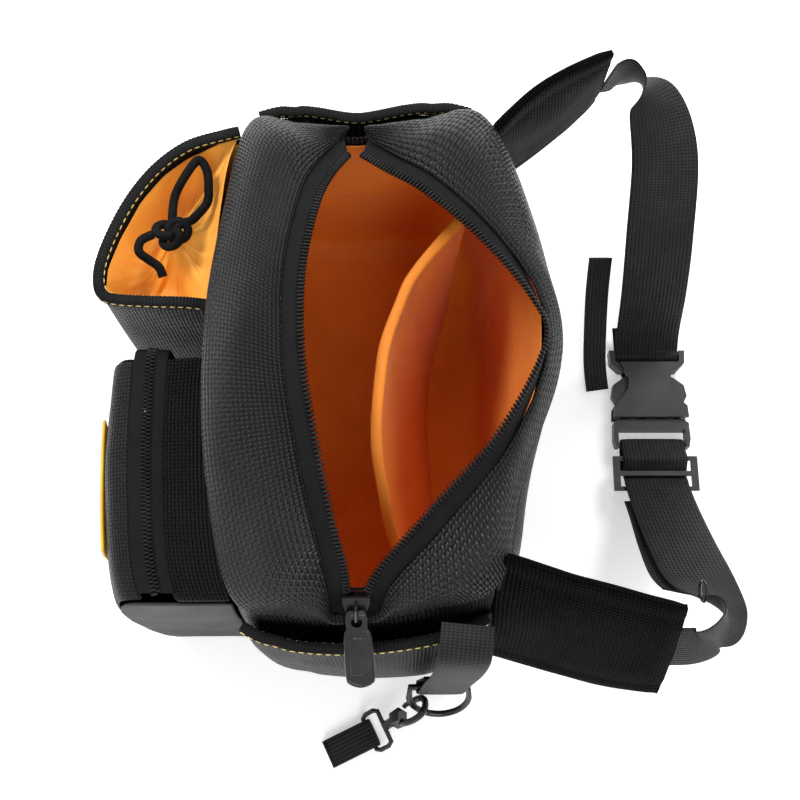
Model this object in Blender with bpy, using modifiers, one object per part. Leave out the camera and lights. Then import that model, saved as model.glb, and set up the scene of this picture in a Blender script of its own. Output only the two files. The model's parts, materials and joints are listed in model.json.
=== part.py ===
"""An open tool pouch on a padded waist belt, as separate closed solids.

Every length is in millimetres. The pouch stands on its base at Z = 0, its
front faces -Y, the wearer stands at +Y, and the near end is +X.
"""

import math

import bmesh
import bpy
from mathutils import Matrix, Vector as V

MM = 0.001
NAME = "electrician_tool_pouch"

# ---- body -----------------------------------------------------------------
WALL = 2.4  # coated fabric with its foam
BACK_PADDING = 5.0  # how far the padded back stands out
LINING_GAP, LINING = 3.8, 1.2
BASE_THICK = 3.6
BULGE = 4.0
GAP = 0.4  # between any two pieces
RIM_LOOP = [  # seam of the mouth, sixteen points from the far front corner
    (-119, -76, 163), (-60, -85, 176), (0, -89, 184), (62, -87, 178),
    (117, -77, 150), (125, -52, 143), (127, -20, 141), (122, 14, 144),
    (112, 45, 153), (66, 55, 160), (0, 73, 158), (-62, 65, 164),
    (-121, 42, 165), (-121, 12, 161), (-114, -22, 161), (-119, -52, 161),
]
FOOT_LOOP = [
    (-122, -73, 4), (-62, -80, 4), (0, -81, 4), (66, -80, 4),
    (125, -73, 4), (130, -42, 4), (132, -14, 4), (131, 14, 4),
    (127, 43, 4), (66, 49, 4), (0, 50, 4), (-62, 49, 4),
    (-120, 43, 4), (-129, 14, 4), (-131, -14, 4), (-129, -42, 4),
]
# ---- main zip -------------------------------------------------------------
FRONT_CHAIN = [
    (-101, -26, 164), (-84, -34, 174), (-63, -40, 183), (-25, -45, 192),
    (16, -44, 196), (53, -38, 193), (90, -30, 179), (109, -25, 162),
    (119, -24, 150),
]
BACK_CHAIN = [
    (-101, -19, 164), (-88, -6, 172), (-73, 12, 179), (-45, 38, 186),
    (-12, 61, 190), (10, 66, 190), (50, 45, 186), (83, 15, 177),
    (108, -9, 162), (119, -16, 150),
]
CHAIN_HALF, CHAIN_THICK = 1.9, 2.6
CHAIN_END = 0.93  # the last of the way along, clear of the slider
TAPE_WIDTH, TAPE = 9.0, 0.8
FLAP, PUFF = 1.8, 5.0
# ---- pockets --------------------------------------------------------------
POCKET_WALL = 2.0
BINDING = [  # section of a bound rim, across and up
    (-2.7, -2.6), (2.7, -2.6), (2.7, 2.0), (1.6, 2.7), (-1.6, 2.7), (-2.7, 2.0),
]
DRAW_PLAN = [  # along the front, distance out from it
    (-120, 1.0), (-119, 14), (-113, 30), (-101, 43), (-85, 53), (-67, 60),
    (-49, 64), (-37, 63.5), (-30.5, 60), (-28, 52), (-27, 36), (-26.5, 18),
    (-26, 1.0),
]
DRAW_FOOT = 5
ZIP_SPAN = (-2.0, 118.0)
ZIP_PROFILE = [  # out from the front, height
    (1.0, 6), (30, 5), (51, 6), (57, 11), (60, 35), (60.5, 70), (59, 105),
    (56, 122), (52, 130), (45, 134),
]
ZIP_TOP, ZIP_OUT = 134, 35.0
CORD = 4.6
# ---- belt and hardware ----------------------------------------------------
WING_THICK = 10.0
WEBBING, WEBBING_THICK = 38.0, 1.6
BUCKLE_Y, BUCKLE_Z = 151.0, 6.5
SOCKET_X = -53.0


# ---- finishes ---------------------------------------------------------------
FINISHES = {  # colour, roughness, metallic
    "black_fabric": ((0.018, 0.018, 0.020), 0.8, 0.0),
    "orange_lining": ((0.85, 0.26, 0.02), 0.55, 0.0),
    "webbing": ((0.022, 0.022, 0.024), 0.7, 0.0),
    "binding": ((0.015, 0.015, 0.016), 0.75, 0.0),
    "zip_coil": ((0.02, 0.02, 0.022), 0.4, 0.0),
    "dark_metal": ((0.06, 0.06, 0.065), 0.35, 0.9),
    "black_plastic": ((0.03, 0.03, 0.033), 0.45, 0.0),
    "cord": ((0.012, 0.012, 0.013), 0.75, 0.0),
    "yellow_rubber": ((0.8, 0.42, 0.04), 0.5, 0.0),
}
WORN_BY = {  # what a name holds decides its finish, the first that fits
    "_binding": "binding", "lining": "orange_lining", "collar": "orange_lining",
    "divider": "orange_lining", "zip_pocket": "black_fabric", "_zip": "zip_coil",
    "slider": "dark_metal", "puller": "dark_metal", "d_ring": "dark_metal",
    "hook_webbing": "webbing", "dring_webbing": "webbing", "hook": "dark_metal",
    "end_ring": "dark_metal", "strap": "webbing", "grosgrain": "webbing",
    "buckle": "black_plastic", "latch": "black_plastic", "triglide": "black_plastic",
    "cord": "cord", "badge": "yellow_rubber", "": "black_fabric",
}


def finish_of(name):
    return next(finish for part, finish in WORN_BY.items() if part in name)


def make_finishes():
    for name, (colour, rough, metal) in FINISHES.items():
        material = bpy.data.materials.new(name)
        material.use_nodes = True
        shader = material.node_tree.nodes["Principled BSDF"]
        shader.inputs["Base Color"].default_value = (*colour, 1)
        shader.inputs["Roughness"].default_value = rough
        shader.inputs["Metallic"].default_value = metal


# ---- making solids ----------------------------------------------------------
def start():
    """An empty scene with a collection for the parts and one for the cutters."""
    for obj in list(bpy.data.objects):
        bpy.data.objects.remove(obj)
    for name in (NAME, "cutters"):
        bpy.context.scene.collection.children.link(bpy.data.collections.new(name))
    make_finishes()


def keep(obj):
    """Files an object under the pouch, with its finish."""
    for home in list(obj.users_collection):
        home.objects.unlink(obj)
    bpy.data.collections[NAME].objects.link(obj)
    obj.data.materials.clear()
    obj.data.materials.append(bpy.data.materials[finish_of(obj.name)])
    return obj


def mesh_object(name, points, faces):
    """A mesh from points in millimetres."""
    mesh = bpy.data.meshes.new(name)
    mesh.from_pydata([V(p) * MM for p in points], [], faces)
    return keep(bpy.data.objects.new(name, mesh))


def solidify(obj, thick, offset):
    modifier = obj.modifiers.new("Solidify", "SOLIDIFY")
    modifier.thickness, modifier.offset = thick * MM, offset
    return obj


def shell(name, rows, thick, offset=-1, closed=False):
    """A sheet with thickness on a grid of rows. A closed one is a ring."""
    count, width = len(rows), len(rows[0])
    faces = []
    for i in range(count if closed else count - 1):
        a, b = i * width, (i + 1) % count * width
        faces += [(a + j, b + j, b + j + 1, a + j + 1) for j in range(width - 1)]
    return solidify(mesh_object(name, [p for row in rows for p in row], faces), thick, offset)


def cup(name, loops, thick):
    """An open cup with a floor, from its outer loops, the foot first."""
    n = len(loops[0])
    points = [p for loop in loops for p in loop]
    points.append(sum((V(p) for p in loops[0]), V()) / n)
    faces = [(i, (i + 1) % n, len(points) - 1) for i in range(n)]
    faces = [face[::-1] for face in faces]
    for k in range(len(loops) - 1):
        for i in range(n):
            a, b = k * n + i, k * n + (i + 1) % n
            faces.append((a, b, b + n, a + n))
    return solidify(mesh_object(name, points, faces), thick, -1)


def loft(name, sections, closed=False):
    """A solid through unlike closed sections, capped unless it is a ring."""
    n, m = len(sections), len(sections[0])
    faces = []
    for i in range(n if closed else n - 1):
        a, b = i * m, (i + 1) % n * m
        faces += [(a + k, a + (k + 1) % m, b + (k + 1) % m, b + k) for k in range(m)]
    if not closed:
        faces += [tuple(range(m)), tuple((n - 1) * m + k for k in range(m))]
    obj = mesh_object(name, [p for section in sections for p in section], faces)
    bm = bmesh.new()
    bm.from_mesh(obj.data)
    bmesh.ops.recalc_face_normals(bm, faces=bm.faces)
    bm.to_mesh(obj.data)
    bm.free()
    return obj


def frames(centres, sides):
    """At each point of a path: the point, the way across it and the way up."""
    last = len(centres) - 1
    for i, centre in enumerate(centres):
        travel = (centres[min(i + 1, last)] - centres[max(i - 1, 0)]).normalized()
        side = V(sides[i] if isinstance(sides, list) else sides)
        side = (side - travel * side.dot(travel)).normalized()
        yield centre, side, travel.cross(side)


def sweep(name, centres, sides, profile):
    """A profile of (across, up) carried along a path that turns as it goes."""
    return loft(name, [[centre + side * a + up * b for a, b in profile]
                       for centre, side, up in frames(centres, sides)])


def strap(name, path, sides, width=None, thick=None, steps=6):
    """Webbing along a smooth path through the points, turning as it goes."""
    n = (len(path) - 1) * steps
    centres = [open_spline(path, k / n) for k in range(n + 1)]
    turned = [open_spline(sides, k / n) for k in range(n + 1)]
    half = (width or WEBBING) / 2
    rows = [(centre - side * half, centre + side * half)
            for centre, side, _ in frames(centres, turned)]
    return shell(name, rows, thick or WEBBING_THICK, offset=0)


def curve_object(name, points, closed, dimensions):
    data = bpy.data.curves.new(name, "CURVE")
    data.dimensions = dimensions
    spline = data.splines.new("POLY")
    spline.points.add(len(points) - 1)
    for made, point in zip(spline.points, points):
        made.co = (*(V(point) * MM), 1)
    spline.use_cyclic_u = closed
    return bpy.data.objects.new(name, data)


def tube(name, path, radius, closed=False, smooth=0, resolution=2):
    """A round wire or cord along a path, or along a curve through its points."""
    if smooth:
        count = (len(path) - 1) * smooth
        path = [open_spline(path, k / count) for k in range(count + 1)]
    obj = curve_object(name, path, closed, "3D")
    obj.data.bevel_depth = radius * MM
    obj.data.bevel_resolution = resolution
    obj.data.use_fill_caps = not closed
    return keep(obj)


def plate(name, outline, thick, origin, across, along):
    """A flat plate with a drawn outline, its middle plane at the origin."""
    obj = curve_object(name, [(a, b, 0) for a, b in outline], True, "2D")
    obj.data.fill_mode = "BOTH"
    obj.data.extrude = thick / 2 * MM
    across, along = V(across).normalized(), V(along).normalized()
    turn = Matrix((across, along, across.cross(along))).transposed().to_4x4()
    obj.matrix_world = Matrix.Translation(V(origin) * MM) @ turn
    return keep(obj)


def box(name, low, high):
    low, high = V(low) * MM, V(high) * MM
    bpy.ops.mesh.primitive_cube_add(size=1, location=(low + high) / 2)
    obj = bpy.context.object
    obj.name, obj.scale = name, high - low
    return keep(obj)


def as_mesh(obj):
    """The mesh of a curve, welded, because a Boolean takes no curve."""
    if obj.type == "MESH":
        return obj
    bpy.context.view_layer.update()
    shape = obj.evaluated_get(bpy.context.evaluated_depsgraph_get())
    mesh = bpy.data.meshes.new_from_object(shape)
    bm = bmesh.new()
    bm.from_mesh(mesh)
    bmesh.ops.remove_doubles(bm, verts=bm.verts, dist=1e-6)
    bmesh.ops.recalc_face_normals(bm, faces=bm.faces)
    bm.to_mesh(mesh)
    bm.free()
    name, place = obj.name, obj.matrix_world.copy()
    bpy.data.objects.remove(obj)
    made = bpy.data.objects.new(name, mesh)
    made.matrix_world = place
    return keep(made)


def combine(target, others, operation):
    """Union or difference with helpers, which are left out of the render."""
    target = as_mesh(target)
    for other in others:
        other = as_mesh(other)
        modifier = target.modifiers.new(other.name, "BOOLEAN")
        modifier.operation, modifier.solver = operation, "EXACT"
        modifier.object = other
        other.hide_render = True
        bpy.data.collections[NAME].objects.unlink(other)
        bpy.data.collections["cutters"].objects.link(other)
    return target


def hang(obj, pivot):
    """Puts a moving piece's origin on its joint's axis."""
    place = Matrix.Translation(V(pivot) * MM)
    obj.data.transform(place.inverted() @ obj.matrix_world)
    obj.matrix_world = place
    return obj


# ---- smooth curves --------------------------------------------------------
def catmull(p0, p1, p2, p3, t):
    p0, p1, p2, p3 = V(p0), V(p1), V(p2), V(p3)
    return 0.5 * (
        2 * p1 + (p2 - p0) * t + (2 * p0 - 5 * p1 + 4 * p2 - p3) * t**2
        + (3 * p1 - p0 - 3 * p2 + p3) * t**3
    )


def loop_point(points, s):
    """A point on a closed curve, s from 0 to 4 right round."""
    n = len(points)
    x = (s % 4) * n / 4
    i = int(x)
    return catmull(*(points[(i + k - 1) % n] for k in range(4)), x - i)


def open_spline(points, t):
    n = len(points) - 1
    x = min(max(t, 0), 1) * n
    i = min(int(x), n - 1)
    ends = [points[min(max(i + k - 1, 0), n)] for k in range(4)]
    return catmull(*ends, x - i)


def span(low, high, n):
    return [low + (high - low) * k / (n - 1) for k in range(n)]


def inset_loop(points, by):
    """A closed plan outline moved inwards. It runs clockwise from above."""
    moved, n = [], len(points)
    for i, (x, y) in enumerate(points):
        (x0, y0), (x1, y1) = points[i - 1], points[(i + 1) % n]
        dx, dy = x1 - x0, y1 - y0
        size = math.hypot(dx, dy)
        moved.append((x + by * dy / size, y - by * dx / size))
    return moved


# ---- the body's own surface -----------------------------------------------
def wall_middle(s, v):
    low, high = loop_point(FOOT_LOOP, s), loop_point(RIM_LOOP, s)
    a = loop_point(FOOT_LOOP, s + 0.02) * (1 - v) + loop_point(RIM_LOOP, s + 0.02) * v
    p = low * (1 - v) + high * v
    ahead = a - p
    out = V((ahead.y, -ahead.x, 0)).normalized()
    return p + out * BULGE * math.sin(math.pi * min(max(v, 0), 1))


def wall(s, v, inset=0.0):
    """A point of the bag's wall: s runs round, v from foot to rim."""
    e = 0.01
    along = wall_middle(s + e, v) - wall_middle(s - e, v)
    rise = wall_middle(s, min(v + e, 1)) - wall_middle(s, max(v - e, 0))
    normal = along.cross(rise).normalized()
    return wall_middle(s, v) - normal * inset


def height(s, z):
    """The v of a height on the wall."""
    return (z - 4) / (loop_point(RIM_LOOP, s).z - 4)


def panel(name, s0, s1, across, out=0.0):
    """A piece of the wall from s0 to s1 that stands that far out of it."""
    rows = [[wall(s, v, -out) for v in span(0, 1, 7)] for s in span(s0, s1, across)]
    return shell(name, rows, WALL + out)


def front_point(x, z, out):
    """A point that far out from the front wall, at that place along it."""
    low, high = 0.0, 1.0
    for _ in range(12):
        s = (low + high) / 2
        low, high = (s, high) if wall_middle(s, height(s, z)).x < x else (low, s)
    return V((x, wall_middle(s, height(s, z)).y - out, z))


# ---- shell, base, lining --------------------------------------------------
def body():
    seam = 0.008
    panel("front_panel", seam, 1 - seam, 18)
    panel("near_end_panel", 1 + seam, 2 - seam, 12)
    panel("back_panel", 2.05, 2.95, 16, BACK_PADDING)
    panel("far_end_panel", 3 + seam, 4 - seam, 12)
    for name, s in (("near_back_seam", 2.026), ("far_back_seam", 2.974)):
        panel(name, s - 0.016, s + 0.016, 3, 1.5)
    around = span(0, 4, 49)[:-1]
    foot = [loop_point(FOOT_LOOP, s).xy for s in around]
    plate("base_panel", foot, BASE_THICK, (0, 0, BASE_THICK / 2), (1, 0, 0), (0, 1, 0))
    loops = [[wall(s, v, LINING_GAP) for s in around] for v in (0.03, 0.2, 0.4, 0.6, 0.8, 0.975)]
    cup("main_lining", loops, LINING)


def divider():
    top = [(-80, 32, 138), (-51, 10, 141), (-31, 1, 142), (1, -9, 142),
           (40, -12, 136), (75, -6, 118), (102, 4, 96)]
    foot = [(-76, 28, 14), (-48, 20, 14), (-24, 16, 14), (4, 16, 14),
            (40, 18, 14), (75, 19, 14), (104, 18, 14)]
    loft("divider", padded(top, foot, 14, (0, 0.3, 0.6, 0.86, 0.95, 1), divider_half))


def divider_half(v):
    """Half the divider's thickness, fuller along its bound top edge."""
    return 1.6 + 1.9 * max(0, (v - 0.86) / 0.14)


def padded(top, foot, steps, levels, half):
    """Sections of a padded sheet hung between two curves."""
    sections = []
    for t in span(0, 1, steps):
        a, b = open_spline(foot, t), open_spline(top, t)
        ahead = open_spline(top, min(t + 0.05, 1)) - open_spline(top, max(t - 0.05, 0))
        side = ahead.cross(b - a).normalized()
        faces = [[a.lerp(b, v) + side * half(v) * way for v in levels] for way in (1, -1)]
        sections.append(faces[0] + faces[1][::-1])
    return sections


# ---- mouth: two flaps, each with half of the zip ----------------------------
def flap_row(chain, front, t):
    """The seam point, the chain point and the way across at t."""
    s = -0.45 + 1.9 * t if front else 3.45 - 1.9 * t
    return loop_point(RIM_LOOP, s) + V((0, 0, 1.6)), open_spline(chain, t)


def mouth_half(front):
    side = "front" if front else "back"
    chain = FRONT_CHAIN if front else BACK_CHAIN
    rows, centres, across = [], [], []
    for t in span(0.015, 0.962, 30):
        seam, edge = flap_row(chain, front, t)
        travel = (flap_row(chain, front, t + 0.01)[1] - edge).normalized()
        up = travel.cross(seam - edge).normalized() * (-1 if front else 1)
        square = (edge - seam) - travel * (edge - seam).dot(travel)
        stop = max(0.12, 1 - (TAPE_WIDTH + 3 * GAP) / square.length)
        rows.append([seam.lerp(edge, w * stop) + up * PUFF * math.sin(math.pi * w)
                     for w in span(0, 1, 5)])
        if t < CHAIN_END:
            centres.append(edge)
            across.append((seam - edge).normalized())
    shell(f"{side}_flap", rows, FLAP, offset=0)
    a, b, c = CHAIN_HALF, TAPE / 2, CHAIN_THICK / 2
    profile = [(-a, -c), (a, -c), (a, -b), (TAPE_WIDTH, -b), (TAPE_WIDTH, b),
               (a, b), (a, c), (-a, c)]
    sweep(f"{side}_zip", centres, across, profile)


# ---- pockets ----------------------------------------------------------------
def draw_loop(inset):
    """Plan of the drawstring pocket: the front run, then back along the wall."""
    back = [(x, 1.0) for x in span(-40, -106, 5)]
    return inset_loop(DRAW_PLAN + back, inset)


def draw_rim(x):
    return 150 - 0.075 * (x + 120)


def draw_points(plan, drop, foot=None):
    return [
        front_point(x, foot if foot is not None else draw_rim(x) - drop, d)
        for x, d in plan
    ]


def draw_stack(inset, foot, drops):
    """Loops of the pocket moved in by that much, from its foot to its rim."""
    plan = draw_loop(inset)
    levels = [[front_point(x, foot, d) for x, d in plan]]
    levels += [[front_point(x, draw_rim(x) - drop, d) for x, d in plan] for drop in drops]
    return levels


def drawstring_pocket():
    cup("drawstring_pocket", draw_stack(0, DRAW_FOOT, (100, 60, 25, 0)), POCKET_WALL)
    inside = POCKET_WALL + 1.5 * GAP
    cup("drawstring_lining", draw_stack(inside, DRAW_FOOT + 3, (100, 60, 25, 3)), 1.0)
    plan = inset_loop(DRAW_PLAN, 1.2)[1:-1]
    centres = [front_point(x, draw_rim(x) + 3.1, d) for x, d in plan]
    ahead = [centres[min(i + 1, len(centres) - 1)] - centres[max(i - 1, 0)]
             for i in range(len(centres))]
    sides = [V((a.y, -a.x, 0)).normalized() for a in ahead]
    sweep("drawstring_binding", centres, sides, BINDING)
    rows, count = [], 40
    for k in range(count):
        x, d = plan_at(draw_loop(0), k / count)
        fold = math.sin(k * 2 * math.pi / 5)
        row = []
        for share, drop, shift in ((0.78, 8, 0), (0.72, 16, 1), (0.66, 26, 4), (0.55, 38, 7)):
            reach = share * (1 + 0.2 * fold * (0.9 - share))
            px, pd = -68 + (x + 68) * reach, 32 + (d - 32) * reach - shift
            row.append(front_point(px, draw_rim(px) - drop, pd))
        rows.append(row)
    shell("drawstring_collar", rows, 1.2, closed=True)


def plan_at(plan, t):
    """A point at that share of the way round a plan, by length."""
    n = len(plan)
    sizes = [math.dist(plan[i], plan[(i + 1) % n]) for i in range(n)]
    left = t * sum(sizes)
    for i, size in enumerate(sizes):
        if left <= size:
            a, b, f = plan[i], plan[(i + 1) % n], left / size
            return a[0] + (b[0] - a[0]) * f, a[1] + (b[1] - a[1]) * f
        left -= size
    return plan[0]


def cord():
    tube("cord_loop", [(-72, -115.5, 150), (-84, -114, 153), (-97, -108, 154),
                       (-104, -103, 153), (-99, -99, 151), (-90, -98, 149),
                       (-82, -99, 147), (-73, -106, 147)], CORD / 2, smooth=5)
    bpy.ops.mesh.primitive_uv_sphere_add(segments=12, ring_count=8, radius=MM,
                                         location=V((-60.5, -116.5, 148)) * MM)
    knot = bpy.context.object
    knot.name, knot.scale = "cord_knot", (10, 6.5, 5.5)
    keep(knot)
    tube("cord_tail", [(-64, -125, 149), (-60, -130.5, 150), (-54, -131, 150),
                       (-50, -126, 149), (-46.5, -121, 148), (-42, -119, 146)],
         CORD / 2, smooth=5)


def zip_pocket():
    low, high = ZIP_SPAN
    xs = span(low, high, 12)
    shell("zip_pocket_face",
          [[front_point(x, z, d) for d, z in ZIP_PROFILE] for x in xs], POCKET_WALL)
    side = ZIP_PROFILE[:-1] + [(46, 131), (25.5, 131), (24, 132.5), (1.2, 133.5)]
    side += [(1.2, z) for z in (112, 90, 68, 46, 24)]
    stand = 2 * GAP + POCKET_WALL / 2
    for name, x in (("zip_pocket_far_side", low - stand), ("zip_pocket_near_side", high + stand)):
        outline = [front_point(x, z, d) for d, z in side]
        solidify(mesh_object(name, outline, [tuple(range(len(outline)))]), POCKET_WALL, 0)
    shell("zip_pocket_top",
          [[front_point(x, ZIP_TOP + 2 - d * 0.07, d) for d in (25.0, 12, 1.0)] for x in xs],
          POCKET_WALL, offset=-1)
    w, a, t, c = 8.7, 2.6, TAPE / 2, 1.4
    profile = [(-w, -t), (-a, -t), (-a, -c), (a, -c), (a, -t), (w, -t),
               (w, t), (a, t), (a, c), (-a, c), (-a, t), (-w, t)]
    run = [(x, ZIP_TOP) for x in span(high - 3, low + 4, 10)]
    run += [(-4.0, ZIP_TOP - 0.3), (-8.0, ZIP_TOP - 3), (-9.0, ZIP_TOP - 9), (-9.0, ZIP_TOP - 40)]
    sweep("pocket_zip", [front_point(x, z, ZIP_OUT) for x, z in run], V((0, 1, 0)), profile)
    shell("badge_plate",
          [[front_point(x, z, badge_out(z) + 2.6) for z in span(92, 118, 5)]
           for x in span(24, 92, 9)], 2.0)


def badge_out(z):
    """How far out the pocket's face is at a height."""
    for (d0, z0), (d1, z1) in zip(ZIP_PROFILE[3:], ZIP_PROFILE[4:]):
        if z <= z1:
            return d0 + (d1 - d0) * (z - z0) / (z1 - z0)
    return ZIP_PROFILE[-1][0]


def end_pocket(name, s0, s1, foot, rim, depth):
    """A pocket that bellies out from an end wall, open at its top."""
    def out(u, z):
        across = min(1, 1.25 * math.sin(math.pi * u) ** 0.6)
        up = min(1, math.sin(0.5 * math.pi * min(1, (z - foot) / 26)) ** 0.7) if z > foot else 0
        return depth * across * up
    us, zs = span(0, 1, 17), [foot, foot + 3, foot + 9, foot + 22] + span(foot + 45, rim, 4)

    def at(u, z, more):
        s = s0 + (s1 - s0) * u
        return wall(s, height(s, z), -(GAP + out(u, z) + more))

    shell(name, [[at(u, z, POCKET_WALL) for z in zs] for u in us], POCKET_WALL)
    edge = us[1:-1]
    centres = [at(u, rim + 3, POCKET_WALL / 2 + 1.2) for u in edge]
    sides = [(at(u, rim, 5) - at(u, rim, 0)).normalized() for u in edge]
    sweep(f"{name}_binding", centres, sides, BINDING)


# ---- belt -------------------------------------------------------------------
def wing(name, top, foot):
    def half(v):
        return WING_THICK / 2 * (0.45 + 0.55 * math.sin(math.pi * v) ** 0.5)

    loft(name, padded(top, foot, 12, span(0, 1, 7), half))


def belt():
    wing("far_wing",
         [(-121, 56, 171), (-132, 70, 176), (-142, 86, 177), (-154, 104, 171)],
         [(-138, 58, 72), (-150, 74, 74), (-161, 91, 82), (-172, 107, 96)])
    wing("near_wing",
         [(105, 57, 160), (112, 82, 154), (117, 108, 147), (120, 130, 138)],
         [(137, 57, 66), (144, 82, 64), (150, 106, 64), (154, 127, 68)])
    z = BUCKLE_Z
    bar = SOCKET_X + 3
    strap("strap_far",
          [(-164.5, 113, 134), (-167, 124, 133), (-158, 138, 127), (-130, 146, 113),
           (-92, 145, 92), (-72, 147, 60), (-61, 149.5, 26), (-54, BUCKLE_Y, z + 4.2),
           (bar + 0.5, BUCKLE_Y, z + 3.3), (bar + 3.2, BUCKLE_Y, z), (bar + 0.5, BUCKLE_Y, z - 3.3),
           (-57, BUCKLE_Y, z - 2.6), (-70, 150, z + 1.5)],
          [(0.2, 0, 0.98), (0.15, -0.3, 0.95), (0, -0.85, 0.5), (0, -1, 0.12),
           (0, -1, 0), (0, -1, 0), (0, -1, 0), (0, -1, 0), (0, -1, 0), (0, -1, 0),
           (0, -1, 0), (0, -1, 0), (0, -1, 0)])
    strap("strap_keeper_tab",
          [(-92, 117, 60), (-78, 117, 42), (-60, 118, 22), (-44, 119, 9), (-30, 121, 2.2)],
          [(0, -1, 0)] * 5, width=14)
    bar = 6.2
    strap("strap_near",
          [(22, BUCKLE_Y, z - 5.2), (bar + 3, BUCKLE_Y, z - 3.6), (bar - 0.3, BUCKLE_Y, z - 3.3),
           (bar - 3.2, BUCKLE_Y, z), (bar - 0.3, BUCKLE_Y, z + 3.3), (11, BUCKLE_Y, z + 5.6),
           (16.6, BUCKLE_Y, z + 9.3), (21.0, BUCKLE_Y, z + 6.4), (25.4, BUCKLE_Y, z + 3.0),
           (29.8, BUCKLE_Y, z + 6.4), (34.4, BUCKLE_Y, z + 9.6), (50, 151.5, 30), (74, 152.5, 55),
           (97, 154.5, 80), (113, 159, 97), (124, 161, 106), (132, 154, 108), (136, 147, 105),
           (137.5, 141, 104)],
          [(0, 1, 0)] * 13 + [(0.02, 1, -0.03), (0.12, 0.9, -0.45), (0.3, 0.4, -0.87),
                              (0.36, 0, -0.93), (0.37, 0, -0.93), (0.37, 0, -0.93)],
          steps=4)
    strap("strap_near_layer",
          [(44, 149, 19), (55, 149, 31), (76, 149, 51), (96, 149, 72), (108, 151, 85)],
          [(0, 1, 0), (0, 1, 0), (0, 1, 0), (0.05, 1, -0.1), (0.1, 0.9, -0.3)])


def buckle():
    x, y, z = SOCKET_X, BUCKLE_Y, BUCKLE_Z

    def plan(points):
        left = [(a, -b) for a, b in points]
        return left + [(a, b) for a, b in reversed(points)]

    hourglass = plan([(8, 17), (14, 14.5), (19, 12.5), (25, 13), (31, 17), (36, 22), (43, 22.5)])
    top = plate("buckle_socket", hourglass, 2.6, (x, y, z + 4.7), (1, 0, 0), (0, 1, 0))
    low = plate("socket_low", hourglass, 2.6, (x, y, z - 4.7), (1, 0, 0), (0, 1, 0))
    inner = box("socket_root", (x + 8.7, y - 14.2, z - 5), (x + 12, y + 14.2, z + 5))
    bar = box("socket_bar", (x + 1.8, y - 22, z - 1.3), (x + 4.2, y + 22, z + 1.3))
    cheeks, mouths = [], []
    for way in (-1, 1):
        cheeks.append(plate(
            f"socket_cheek{way}",
            [(0, 19.5 * way), (0, 23 * way), (8, 22.5 * way), (13, 17.5 * way), (13, 13 * way),
             (9.6, 13 * way), (7, 19.5 * way)],
            8, (x, y, z), (1, 0, 0), (0, 1, 0)))
        mouths.append(box(f"socket_mouth{way}", (x + 35, y + 19.7 * way - 1.7, z - 5),
                          (x + 42.4, y + 19.7 * way + 1.7, z + 5)))
    combine(top, [low, inner, bar] + cheeks + mouths, "UNION")

    base = plate("buckle_plug", plan([(44, 19), (46, 22.5), (56, 23), (61, 22)]), 7.0,
                 (x, y, z), (1, 0, 0), (0, 1, 0))
    slots = [box("plug_slot", (x + 50.5, y - 20, z - 6), (x + 57.8, y + 20, z + 6)),
             box("plug_over", (x + 57, y - 20, z + 1.4), (x + 63, y + 20, z + 6)),
             box("plug_under", (x + 57, y - 20, z - 6), (x + 63, y + 20, z - 1.4))]
    tongue = box("plug_tongue", (x + 16, y - 3, z - 2.6), (x + 46, y + 3, z + 2.6))
    base = combine(base, slots, "DIFFERENCE")
    combine(base, [tongue], "UNION")
    for name, way in (("latch_arm_left", -1), ("latch_arm_right", 1)):
        arm = [(43.4, 9), (43.4, 13.5), (36, 13.2), (33.4, 14), (33.2, 20.5), (29, 22.8),
               (22, 21.5), (17.5, 15.5), (15.5, 11.5), (18.5, 10.6), (24, 12.6), (30, 10), (36, 8.8)]
        latch = plate(name, [(a, b * way) for a, b in arm], 5.6, (x, y, z), (1, 0, 0), (0, 1, 0))
        hang(latch, (x + 43, y + 11 * way, z))

    cx, cz = 25.4, BUCKLE_Z + 6.4
    frame = box("triglide", (cx - 10.4, y - 25, cz - 1), (cx + 10.4, y + 25, cz + 1))
    slots = [box(f"triglide_slot{way}", (cx + way * 4.7 - 3.3, y - 21, cz - 4), (cx + way * 4.7 + 3.3, y + 21, cz + 4))
             for way in (-1, 1)]
    combine(frame, slots, "DIFFERENCE")


# ---- sliders and pullers ------------------------------------------------------
BRIDGE = (-0.5, 5.3)  # where a puller's bar sits under the bridge


def slider(name, centre, travel, up, size=1.0, whole=True):
    """Two wings with a post between them, and a bridge over the top."""
    travel, up = V(travel).normalized(), V(up).normalized()
    across = up.cross(travel)
    shape = [(-6, 3.2), (-2, 4.6), (3, 6.2), (6.4, 6.4), (6.4, -6.4), (3, -6.2), (-2, -4.6), (-6, -3.2)]
    shape = [(a * size, b * size) for a, b in shape]
    c = V(centre)
    top = plate(name, shape, 1.3 * size, c + up * 2.6 * size, travel, across)
    a0, b0 = BRIDGE
    arch = [(a0 - 3.5, 2.6), (a0 - 3.4, b0), (a0 - 2.4, b0 + 2.4), (a0, b0 + 3.4),
            (a0 + 2.4, b0 + 2.4), (a0 + 3.4, b0), (a0 + 3.5, 2.6)]
    parts = [tube(name + "_bridge", [c + (travel * a + up * b) * size for a, b in arch],
                  0.9 * size, resolution=1)]
    if whole:
        parts.append(plate(name + "_low", shape, 1.3 * size, c - up * 2.6 * size, travel, across))
        diamond = [(a * size, b * size) for a, b in ((6, 0), (4, 1.6), (1, 0), (4, -1.6))]
        parts.append(plate(name + "_post", diamond, 6 * size, c, travel, across))
    combine(top, parts, "UNION")
    return c + (travel * a0 + up * b0) * size


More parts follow.
